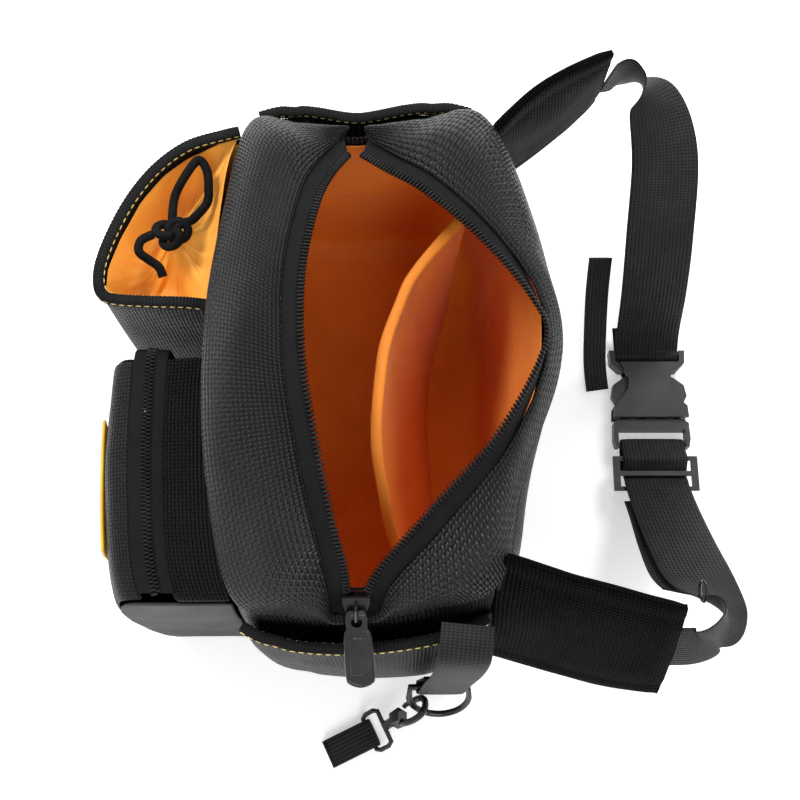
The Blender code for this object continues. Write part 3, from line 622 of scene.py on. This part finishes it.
# %% The divider
def padded_rings(top, base, steps, levels, half, rise=None):
    """Rings of points for a padded sheet between two curves."""
    rings = []
    for t in span(0, 1, steps):
        a, b = open_spline(base, t), open_spline(top, t)
        run = open_spline(top, min(t + 0.05, 1)) - open_spline(top, max(t - 0.05, 0))
        side = run.cross(b - a).normalized()
        faces = [[a.lerp(b, v) + side * half(t, v) * way for v in levels] for way in (1, -1)]
        rings.append(faces[0] + faces[1][::-1])
    return rings


DIVIDER_TOP = [(-80, 32, 138), (-51, 10, 141), (-31, 1, 142), (1, -9, 142), (40, -12, 136),
               (75, -6, 118), (102, 4, 96)]
DIVIDER_FOOT = [(-76, 28, 14), (-48, 20, 14), (-24, 16, 14), (4, 16, 14), (40, 18, 14),
                (75, 19, 14), (104, 18, 14)]
stuffed("orange_divider",
        padded_rings(DIVIDER_TOP, DIVIDER_FOOT, 30, span(0, 0.94, 9) + [0.96, 0.985, 1.0],
                     lambda t, v: 1.5 + 1.6 * max(0, (v - 0.94) / 0.06) ** 0.5),
        "lining", ["divider"], soft=1.2)
print("walls, lining and divider made")

# %% [markdown]
# ## The mouth
#
# Two soft flaps carry the halves of a coil zip. A flap could be a plain
# ruled sheet, but sewn nylon puffs up between its seams and puckers a little
# where the zip tape holds it, so the rows below rise and ripple there.

# %% Flaps and the main zip
TAPE_WIDTH, PUFF, CHAIN_END = 9.0, 5.0, 0.985


def flap_row(chain, front, t):
    s = -0.45 + 1.9 * t if front else 3.45 - 1.9 * t
    return loop_point(RIM_LOOP, s) + V((0, 0, 1.6)), open_spline(chain, t)


def zip_end_patch():
    """The sewn end of the zip: a small black patch below the slider."""
    rows = []
    for way in span(-1, 1, 9):
        outer = loop_point(RIM_LOOP, 1.5 + 0.14 * way) + V((0.6, 0, 0.6))
        inner = V((114, -20 + 11 * way, 147.4))
        rows.append([outer.lerp(inner, w) for w in span(0, 1, 7)])
    return cloth("zip_end_patch", rows, 0.8, "zip_tape", [])


zip_end_patch()


def mouth_half(front):
    side = "front" if front else "back"
    chain = FRONT_CHAIN if front else BACK_CHAIN
    rows, edges, ways, ups, reaches = [], [], [], [], []
    for t in span(0.0, 1.0, 76):
        seam, edge = flap_row(chain, front, t)
        before, after = (flap_row(chain, front, min(max(t + e, 0), 1))[1] for e in (-0.01, 0.01))
        travel = (after - before).normalized()
        lift = travel.cross(seam - edge).normalized() * (-1 if front else 1)
        square = (edge - seam) - travel * (edge - seam).dot(travel)
        stop = max(0.12, 1 - (TAPE_WIDTH + 0.2) / square.length)
        outward = V((seam.x, seam.y * 1.4, 0)).normalized()
        row = [seam + outward * 0.9 - V((0, 0, 5.5)), seam + outward * 0.9 - V((0, 0, 2.2))]
        for w in span(0, 1, 13):
            pucker = 0.35 * math.sin(t * 150) * (w**4 + (1 - w) ** 4)
            crease = 0.9 * math.sin(t * 23 + w * 5) * math.sin(math.pi * w)
            rise = PUFF * math.sin(math.pi * w) ** 0.8 + pucker + crease
            row.append(seam.lerp(edge, w * stop) + lift * rise)
        rows.append(row)
        if t < CHAIN_END:
            reaches.append((edge - seam).length * (1 - stop) + 2.5)
            edges.append(edge)
            ways.append((seam - edge).normalized())
            ups.append(lift)
    cloth(f"{side}_flap_cloth", rows, 1.8, "ballistic", [f"{side}_flap"], soft=0.6)
    tape = [[e + w * (share * reach - 0.2) - u * share for share in span(0, 1, 6)]
            for e, w, u, reach in zip(edges, ways, ups, reaches)]
    cloth(f"{side}_zip_tape", tape, 0.8, "zip_tape", soft=0.0)
    teeth = []
    centres = along_path(edges, 1.0)
    for k in range(0, len(centres) - 1, 2):
        place = k / (len(centres) - 1) * (len(edges) - 1)
        i = min(int(place), len(edges) - 2)
        way = ways[i].lerp(ways[i + 1], place - i)
        travel = (centres[k + 1] - centres[k]).normalized()
        way = (way - travel * way.dot(travel)).normalized()
        lift = travel.cross(way)
        centre = centres[k] + way * 0.3
        teeth.append((centre, travel * 0.82, lift * 1.5, way * 2.3))
    repeated(f"{side}_zip_coil", teeth, "zip_coil", stands_for=[f"{side}_zip"])
    line = [e + w * (reach - 0.3) + u * 1.0 for e, w, u, reach in zip(edges, ways, ups, reaches)]
    wire(f"{side}_topstitch_ridge", [sag(p, 0.6) for p in line], 0.45, "binding")
    print(side, "zip has", len(teeth), "teeth")


mouth_half(True)
mouth_half(False)

# %% [markdown]
# ## Binding tape
#
# Each pocket's raw rim is wrapped in a cross-ribbed tape. One rib could be a
# bump in the material, but rims are seen edge-on, so the ribs are real: the
# tape's section swells and shrinks along it.

# %% Bound rims
RIB = 1.6
BINDING_RING = [(-2.6, -2.5), (-2.75, 0), (-2.6, 1.9), (-1.5, 2.6), (0, 2.8), (1.5, 2.6),
                (2.6, 1.9), (2.75, 0), (2.6, -2.5), (0, -2.6)]


def binding(name, centres, sides, stands_for):
    """Ribbed tape folded over a rim."""
    length = sum((b - a).length for a, b in zip(centres, centres[1:]))
    n = int(length / RIB) * 4
    made = []
    spots = [open_spline(centres, k / n) for k in range(n + 1)]
    turned = [open_spline(sides, k / n) for k in range(n + 1)]
    for k, (centre, side, rise) in enumerate(turned_frames(spots, turned)):
        swell = (0.90, 0.97, 1.0, 0.97)[k % 4]
        made.append([centre + side * a * swell + rise * b * swell for a, b in BINDING_RING])
    return stuffed(name, made, "binding", stands_for, levels=0, soft=0.0)


# %% [markdown]
# ## The drawstring pocket
#
# A tall round pocket with a bound rim. Inside it an orange collar is gathered
# on the cord. Gathers are folds that grow towards the cord, so the collar is
# a ring whose radius ripples more and more as it goes in.

# %% Drawstring pocket
DRAW_PLAN = [(-120, 1.0), (-119, 14), (-113, 30), (-101, 43), (-85, 53), (-67, 60), (-49, 64),
             (-37, 63.5), (-30.5, 60), (-28, 52), (-27, 36), (-26.5, 18), (-26, 1.0)]


def inset_loop(points, by):
    moved, n = [], len(points)
    for i, (x, y) in enumerate(points):
        (x0, y0), (x1, y1) = points[i - 1], points[(i + 1) % n]
        dx, dy = x1 - x0, y1 - y0
        size = math.hypot(dx, dy)
        moved.append((x + by * dy / size, y - by * dx / size))
    return moved


def draw_loop(inset):
    return inset_loop(DRAW_PLAN + [(x, 1.0) for x in span(-40, -106, 5)], inset)


def draw_rim(x):
    return 150 - 0.075 * (x + 120)


def plan_at(plan, t):
    n = len(plan)
    sizes = [math.dist(plan[i], plan[(i + 1) % n]) for i in range(n)]
    left = t * sum(sizes)
    for i, size in enumerate(sizes):
        if left <= size:
            a, b, f = plan[i], plan[(i + 1) % n], left / size
            return a[0] + (b[0] - a[0]) * f, a[1] + (b[1] - a[1]) * f
        left -= size
    return plan[0]


def pocket_rows(inset, foot, drops, count=72):
    rows = []
    for k in range(count):
        x, d = plan_at(draw_loop(inset), k / count)
        floor = [front_point(-70 + (x + 70) * f, foot, 32 + (d - 32) * f) for f in (0.05, 0.5, 0.9)]
        rows.append(floor + [front_point(x, foot, d)]
                    + [front_point(x, draw_rim(x) - drop, d) for drop in drops])
    return rows


cloth("draw_pocket_cloth", pocket_rows(0, 5, (132, 110, 85, 60, 35, 15, 0)), 2.0,
      "ballistic_square", ["drawstring_pocket"], offset=-1, closed=True, soft=0.9)
cloth("draw_pocket_lining", pocket_rows(2.6, 8, (128, 110, 85, 60, 35, 15, 3)), 1.0, "collar",
      ["drawstring_lining"], offset=-1, closed=True, soft=0.9)
plan = inset_loop([(-120, 5.0)] + DRAW_PLAN[1:-1] + [(-26.2, 5.0)], 1.2)
rim = [front_point(x, draw_rim(x) + 3.1, d) for x, d in plan]
rim_ways = [rim[min(i + 1, len(rim) - 1)] - rim[max(i - 1, 0)] for i in range(len(rim))]
rim_sides = [V((a.y, -a.x, 0)).normalized() for a in rim_ways]
binding("draw_pocket_binding", rim, rim_sides, ["drawstring_binding"])

rows, count = [], 180
GATHER = V((-66.5, -116.0, 140.5))
for k in range(count):
    x, d = plan_at(draw_loop(2.8), k / count)
    w = k * 2 * math.pi / count
    by_wall = max(0, 1 - d / 26)
    start = front_point(x, draw_rim(x) - 4 + 7 * by_wall, d + 4 * by_wall)
    out = V((start.x - GATHER.x, start.y - GATHER.y, 0))
    end = GATHER + out.normalized() * 3.0
    row = []
    for share in span(0, 1, 15):
        fold = math.sin(w * 11 + 1.6 * math.sin(w * 4)) + 0.5 * math.sin(w * 27 + 2 * share)
        slump = (20 - 16 * by_wall) * math.sin(math.pi * share ** 0.8)
        p = start.lerp(end, share)
        side = V((-out.y, out.x, 0)).normalized()
        row.append(p + side * 1.1 * fold * share
                   + V((0, 0, -slump + 2.3 * fold * share * (1.25 - share))))
    rows.append(row)
collar = cloth("gathered_collar", rows, 0.9, "collar", ["drawstring_collar"], closed=True, soft=0.7)

# %% [markdown]
# ## The zip pocket
#
# A boxy pocket whose zip runs across its top and turns down its far side.
# Its closed coil is two rows of teeth that mesh, a tooth from each side.

# %% Zip pocket
ZIP_SPAN, ZIP_TOP, ZIP_OUT = (-2.0, 118.0), 134, 35.0
ZIP_PROFILE = [(1.0, 6), (30, 5), (51, 6), (57, 11), (60, 35), (60.5, 70), (59, 105), (56, 122),
               (52, 130), (43, 134.4)]
low, high = ZIP_SPAN
profile = [open_spline([(d, z, 0) for d, z in ZIP_PROFILE], t) for t in span(0, 1, 34)]


def bowed(x, d, z):
    """The pocket's face swells a little in its middle."""
    u = (x - low) / (high - low)
    more = 1.4 * math.sin(math.pi * u) * (1 if d > 50 else 0)
    return front_point(x, z, d + more)


cloth("zip_pocket_cloth", [[bowed(x, p.x, p.y) for p in profile] for x in span(low, high, 30)],
      2.0, "ballistic_square", ["zip_pocket_face"], offset=-1, soft=0.6)


def profile_out(z):
    """How far out the pocket's face is at a height."""
    for (d0, z0), (d1, z1) in zip(ZIP_PROFILE[2:], ZIP_PROFILE[3:]):
        if z <= z1:
            return d0 + (d1 - d0) * (z - z0) / (z1 - z0)
    return ZIP_PROFILE[-1][0]


for name, x, finish in (("far", low - 1.2, "ballistic_square"), ("near", high + 1.2, "gusset")):
    rows = [[front_point(x, z, d) for d in span(1.2, profile_out(z) - 0.6, 9)]
            for z in span(6.5, 131, 22)]
    cloth(f"zip_pocket_{name}_gusset", rows, 2.0, finish, [f"zip_pocket_{name}_side"], soft=0.4)
cloth("zip_pocket_lid",
      [[front_point(x, ZIP_TOP + 2 - d * 0.07 + 0.8 * math.sin(math.pi * d / 28.5), d)
        for d in span(28.5, 1, 7)] for x in span(low - 1, high + 1, 30)],
      2.0, "ballistic_square", ["zip_pocket_top"], offset=-1, soft=0.5)
run = [(x, ZIP_TOP) for x in span(high - 3, low + 4, 10)]
run += [(-4.0, ZIP_TOP - 0.3), (-8.0, ZIP_TOP - 3), (-9.0, ZIP_TOP - 9), (-9.0, ZIP_TOP - 40)]
zip_path = [front_point(x, z, ZIP_OUT) for x, z in run]
OUTWARD = V((0, 1, 0))
centres = [open_spline(zip_path, k / 90) for k in range(91)]
for way, name in ((1, "inner"), (-1, "outer")):
    rows = [[c + OUTWARD * way * a for a in (1.2, 3.6, 6.2, 8.7)] for c in centres]
    cloth(f"pocket_zip_tape_{name}", rows, 0.8, "zip_tape", soft=0.0)
teeth = []
for k, (a, b) in enumerate(zip(*(lambda p: (p, p[1:]))(along_path(zip_path, 1.0)))):
    travel = (b - a).normalized()
    side = (OUTWARD - travel * OUTWARD.dot(travel)).normalized()
    way = 1 if k % 2 else -1
    teeth.append((a + side * way * 1.05, travel * 0.78, travel.cross(side) * 1.45, side * 2.1))
repeated("pocket_zip_coil", teeth, "zip_coil", stands_for=["pocket_zip"])
print("pocket zip has", len(teeth), "teeth")


def badge_point(x, z, more):
    return front_point(x, z, profile_out(z) + 2.6 + more)


rows = [[badge_point(x, z, 0.9 if min(x - 24, 92 - x, (z - 92) * 1.2, (118 - z) * 1.2) < 3.0 else 0)
         for z in span(92, 118, 14)] for x in span(24, 92, 35)]
cloth("blank_rubber_badge", rows, 2.0, "rubber", ["badge_plate"], soft=0.0)

# %% [markdown]
# ## End pockets
#
# A patch pocket bellies out of each end wall. Its rim is bound, and a row of
# yellow thread holds the tape just below the rib.

# %% End pockets
def end_pocket(name, s0, s1, foot, rim_z, depth):
    def out(u, z):
        across = min(1, 1.25 * math.sin(math.pi * u) ** 0.6)
        rise = min(1, math.sin(0.5 * math.pi * min(1, (z - foot) / 26)) ** 0.7) if z > foot else 0
        return depth * across * rise

    def at(u, z, more):
        s = s0 + (s1 - s0) * u
        return wall(s, height(s, z), -(GAP + out(u, z) + more))

    us = span(0, 1, 33)
    zs = [foot, foot + 3, foot + 7, foot + 13, foot + 22] + span(foot + 36, rim_z, 8)
    cloth(f"{name}_cloth", [[at(u, z, 2.0) for z in zs] for u in us], 2.0, "ballistic_square",
          [name], offset=-1, soft=0.9)
    edge = span(0.035, 0.965, 15)
    centres = [at(u, rim_z + 3, 2.2) for u in edge]
    sides = [(at(u, rim_z, 5) - at(u, rim_z, 0)).normalized() for u in edge]
    binding(f"{name}_rim", centres, sides, [f"{name}_binding"])
    for way, place in ((1, "outer"), (-1, "inner")):
        line = [c + s * 2.5 * way + V((0, 0, 0.9)) for c, s in zip(centres, sides)]
        stitches(f"{name}_{place}_stitches", line, [s * way + V((0, 0, 0.6)) for s in sides],
                 soft=0.0)


end_pocket("near_end_pocket", 1.03, 1.97, 7, 126, 9.5)
end_pocket("far_end_pocket", 3.03, 3.97, 7, 147, 10)
for way, place in ((1, "outer"), (-1, "inner")):
    stitches(f"draw_pocket_{place}_stitches",
             [p + s * 2.6 * way + V((0, 0, 0.9)) for p, s in zip(rim, rim_sides)],
             [s * way + V((0, 0, 0.6)) for s in rim_sides], soft=0.0)
strap("far_grosgrain_tab", [(-128.6, 22, 138), (-129.4, 22, 148), (-128.6, 22, 154),
                            (-127.4, 22, 158)], [(0, 1, 0)] * 4, 11, "binding",
      ["grosgrain_tab"], thick=1.2)
print("pockets made")

# %% [markdown]
# ## Wings and belt
#
# The wings are two layers of nylon over foam, so they are padded forms with
# thin sewn edges. The belt is flat webbing: it is built straight from its
# path, because a flat band that folds needs no simulation.

# %% Wings
def wing(name, top, base, stands_for):
    def half(t, v):
        ends = min(1, 6 * min(t, 1 - t) + 0.55)
        crease = 0.8 * math.exp(-((v - 0.12) / 0.03) ** 2) + 0.8 * math.exp(-((v - 0.88) / 0.03) ** 2)
        return max(1.4, 5.0 * (0.4 + 0.6 * math.sin(math.pi * v) ** 0.5) * ends - crease)

    levels = [0, 0.02, 0.06, 0.1, 0.12, 0.14, 0.2] + span(0.28, 0.72, 8) + [0.8, 0.86, 0.88, 0.9,
                                                                           0.94, 0.98, 1.0]
    made = stuffed(name, padded_rings(top, base, 26, levels, half), "wing_ballistic_painted_shade", stands_for)


wing("far_wing_padding",
     [(-113, 47, 167), (-121, 56, 171), (-132, 70, 176), (-142, 86, 177), (-157, 109, 170)],
     [(-131, 49, 70), (-138, 58, 72), (-150, 74, 74), (-161, 91, 82), (-174, 111, 97)],
     ["far_wing"])
wing("near_wing_padding",
     [(101, 45, 160), (105, 57, 160), (112, 82, 154), (117, 108, 147), (121, 135, 137)],
     [(134, 44, 66), (137, 57, 66), (144, 82, 64), (150, 106, 64), (155, 132, 69)],
     ["near_wing"])

# %% Belt
BUCKLE_Y, BUCKLE_Z, SOCKET_X = 151.0, 6.5, -53.0
y, z, bar = BUCKLE_Y, BUCKLE_Z, SOCKET_X + 3
strap("belt_far",
      [(-164.5, 113, 134), (-167, 124, 133), (-158, 138, 127), (-130, 146, 113), (-92, 145, 92),
       (-72, 147, 60), (-61, 149.5, 26), (-54, y, z + 4.2), (bar + 0.5, y, z + 3.3),
       (bar + 3.2, y, z), (bar + 0.5, y, z - 3.3), (-57, y, z - 2.6), (-70, 150, z + 1.5)],
      [(0.2, 0, 0.98), (0.15, -0.3, 0.95), (0, -0.85, 0.5), (0, -1, 0.12)] + [(0, -1, 0)] * 9,
      38, stands_for=["strap_far"])
strap("belt_keeper_tab", [(-92, 117, 60), (-78, 117, 42), (-60, 118, 22), (-44, 119, 9),
                          (-30, 121, 2.2)], [(0, -1, 0)] * 5, 14, stands_for=["strap_keeper_tab"])
bar = 6.2
strap("belt_near",
      [(22, y, z - 5.2), (bar + 3, y, z - 3.6), (bar - 0.3, y, z - 3.3), (bar - 3.2, y, z),
       (bar - 0.3, y, z + 3.3), (11, y, z + 5.6), (16.6, y, z + 9.3), (21.0, y, z + 6.4),
       (25.4, y, z + 3.0), (29.8, y, z + 6.4), (34.4, y, z + 9.6), (50, 151.5, 30),
       (74, 152.5, 55), (97, 154.5, 80), (113, 159, 97), (124, 161, 106), (132, 154, 108),
       (136, 146, 105), (136.5, 133, 104)],
      [(0, 1, 0)] * 13 + [(0.02, 1, -0.03), (0.12, 0.9, -0.45), (0.3, 0.4, -0.87),
                          (0.36, 0, -0.93), (0.37, 0, -0.93), (0.37, 0, -0.93)],
      38, stands_for=["strap_near"], steps=6)
strap("belt_near_layer", [(44, 149, 19), (55, 149, 31), (76, 149, 51), (96, 149, 72),
                          (108, 151, 85)],
      [(0, 1, 0), (0, 1, 0), (0, 1, 0), (0.05, 1, -0.1), (0.1, 0.9, -0.3)], 38,
      stands_for=["strap_near_layer"])
strap("ring_webbing",
      [(131.5, 31, 151), (142, 30, 149), (148.5, 29, 141), (151.5, 27, 118), (152.8, 24, 84),
       (153.9, 22, 52), (153.7, 21, 42), (150.8, 21, 37.2), (147.7, 21, 42), (148.1, 22, 54),
       (149.5, 24, 84)], [(0, 1, 0)] * 11, 25, stands_for=["dring_webbing"])

# %% [markdown]
# ## Hardware
#
# Moulded and plated pieces keep their measured solids. A small bevel rounds
# every sharp edge, because a real edge always catches a line of light. Wires
# are drawn again, rounder, along the same path.

# %% Ring, hook and moulded pieces
bar = V((150.8, 21, 42.2))
e1, e2 = V((0, 1, 0)), V((0.5, 0, -0.866))
ring = [bar + e1 * a for a in (-15.5, -12, -8, -4, 0, 4, 8, 12, 15.5)]
for k in range(1, 32):
    a = math.pi * k / 32
    ring.append(bar + e1 * 16.2 * math.cos(a) + e2 * (8 + 17 * math.sin(a)))
wire("ring_wire", ring, 1.8, "metal", "d_ring", ["d_ring"], closed=True)
radial = (e1 * -0.72 + e2 * 0.69).normalized()
grip = bar + e2 * 8 + e1 * (16.2 * -0.72) + e2 * (17 * 0.69)
base = grip + radial * 18.6
flat = V((radial.x, radial.y, 0)).normalized()
wide = V((0, 0, 1)).cross(flat)
start = base + radial * 6.4
pin = start + radial * 11.4
flat = V((radial.x, radial.y, -0.05)).normalized()
rise = V((0, 0, 1))
strap("hook_loop_webbing",
      [pin + flat * 26 + rise * -0.6, pin + flat * 12 + rise * -2.0, pin + flat + rise * -2.7,
       pin - flat * 2.8, pin + flat + rise * 2.7, pin + flat * 12 + rise * 2.2,
       pin + flat * 24 + rise * 2.4], [wide] * 7, 16, stands_for=["hook_webbing"],
      body="hook_webbing")


PIVOTS = {joint["child"]: V(joint["pos_m"]) / MM for joint in frame["joints"]
          if joint["type"] == "hinge"}


def nodes_pivot(body):
    """The point that a body turns about, in millimetres."""
    return PIVOTS[body]


def dress(node, finish, width=0.35, segments=2):
    """A measured solid with rounded edges and its own finish."""
    obj = nodes[node]
    obj.data.materials.clear()
    obj.data.materials.append(FINISH[finish])
    for face in obj.data.polygons:
        face.use_smooth = True
    edge = obj.modifiers.new("edges", "BEVEL")
    edge.width, edge.segments, edge.limit_method = width * MM, segments, "ANGLE"
    edge.angle_limit, edge.harden_normals = math.radians(32), True


def tag(name, pivot, down, face, length, width, thick, neck, body, stands_for):
    """A cast puller: a rounded tag with an eye, a sunk middle and a raised rim."""
    down, face = V(down).normalized(), V(face).normalized()
    across = down.cross(face).normalized()
    w = width / 2
    outline = [(-1.2, 0), (-1.0, neck * 0.75), (1.0, neck), (8, neck), (12, w * 0.92)]
    outline += [(length - 6, w), (length - 2.2, w * 0.8), (length - 0.6, w * 0.4), (length, 0)]
    outline += [(a, -b) for a, b in outline[-2:0:-1]]
    outline = [loop_point([(a, b, 0) for a, b in outline], s) for s in span(0, 4, 65)[:-1]]
    eye = [(1.3 + 3.2 * (1 - math.cos(k)), (neck - 1.6) * math.sin(k), 0)
           for k in span(0, 2 * math.pi, 25)[:-1]]
    data = bpy.data.curves.new(name, "CURVE")
    data.dimensions, data.fill_mode = "2D", "BOTH"
    data.extrude, data.bevel_depth, data.bevel_resolution = thick * 0.25 * MM, 0.25 * MM, 2
    for ring in (outline, eye):
        spline = data.splines.new("POLY")
        spline.points.add(len(ring) - 1)
        for made, point in zip(spline.points, ring):
            made.co = (*(V(point) * MM), 1)
        spline.use_cyclic_u = True
    obj = bpy.data.objects.new(name, data)
    turn = Matrix((down, across, down.cross(across))).transposed().to_4x4()
    obj.matrix_world = Matrix.Translation(V(pivot) * MM) @ turn
    file_piece(obj, "metal", body, stands_for)
    middle = V((length * 0.55, 0, 0))
    rim = [V(pivot) + down * p.x * 1.0 + across * p.y
           for p in (middle + (V(q) - middle) * 0.93 for q in outline)]
    wire(f"{name}_rim", rim, thick * 0.42, "metal", body, closed=True)
    plate = [(13, 0.62), (length - 7, 0.62), (length - 7, -0.62), (13, -0.62)]
    wire(f"{name}_frame", [V(pivot) + down * a + across * b * w + face * thick * 0.32
                           for a, b in plate], thick * 0.2, "metal", body, closed=True)


tag("main_puller_tag", nodes_pivot("main_puller"), (0.76, 0.05, -0.65), (0.65, 0, 0.76), 40, 13,
    2.2, 4.4, "main_puller", ["main_puller"])
tag("pocket_puller_tag", nodes_pivot("pocket_puller"), (-0.04, 0, -1), (-1, 0, 0.04), 25, 8, 1.6,
    3.6, "pocket_puller", ["pocket_puller"])
for node in ("buckle_socket", "buckle_plug", "latch_arm_left", "latch_arm_right", "triglide"):
    dress(node, "plastic", 0.6)
for node in ("main_slider", "pocket_slider", "hook_body", "hook_gate", "hook_swivel",
             "end_ring"):
    dress(node, "metal")
print("hardware dressed")

# %% [markdown]
# ## Floor and light
#
# A pale floor and large soft lamps show black cloth best: each bump of the
# weave catches a broad highlight, and nothing clips to white.

# %% Floor, lamps and world
floor_mesh = bpy.data.meshes.new("floor")
reach = 6.0
floor_mesh.from_pydata([(-reach, -reach, -0.0005), (reach, -reach, -0.0005),
                        (reach, reach, -0.0005), (-reach, reach, -0.0005)], [], [(0, 1, 2, 3)])
floor = bpy.data.objects.new("floor", floor_mesh)
bpy.context.scene.collection.objects.link(floor)
pale, _, shader = start_material("floor_pale", (0.95, 0.95, 0.95), 0.9)
FLOOR_GLOW = 0.42  # lifts the wide soft shadows off the pale floor
shader.inputs["Emission Color"].default_value = (1, 1, 1, 1)
shader.inputs["Emission Strength"].default_value = FLOOR_GLOW
floor_mesh.materials.append(pale)


def lamp(name, place, aim, size, power):
    light = bpy.data.lights.new(name, "AREA")
    light.shape, light.size, light.energy = "DISK", size, power
    obj = bpy.data.objects.new(name, light)
    obj.location = place
    obj.rotation_euler = (V(aim) - V(place)).to_track_quat("-Z", "Y").to_euler()
    bpy.context.scene.collection.objects.link(obj)


CENTRE = (0, 0.02, 0.08)
lamp("key", (-1.0, -1.2, 2.0), CENTRE, 0.9, 46)
lamp("rim", (-1.5, 1.0, 1.5), CENTRE, 0.9, 30)
lamp("fill", (1.6, 0.4, 1.7), CENTRE, 1.4, 22)
world = bpy.data.worlds.new("studio")
world.use_nodes = True
world.node_tree.nodes["Background"].inputs[0].default_value = (1, 1, 1, 1)
seen = add(world.node_tree, "ShaderNodeLightPath")
WORLD_LIGHT = 0.5
white = maths(world.node_tree, "MAXIMUM", seen.outputs["Is Camera Ray"],
              seen.outputs["Is Glossy Ray"])
white = maths(world.node_tree, "MAXIMUM", white, seen.outputs["Is Transmission Ray"])
strength = maths(world.node_tree, "MAXIMUM", white, WORLD_LIGHT)
world.node_tree.links.new(strength, world.node_tree.nodes["Background"].inputs[1])
bpy.context.scene.world = world
bpy.context.scene.view_settings.view_transform = "Standard"

# %% Update the scene
bpy.context.view_layer.update()
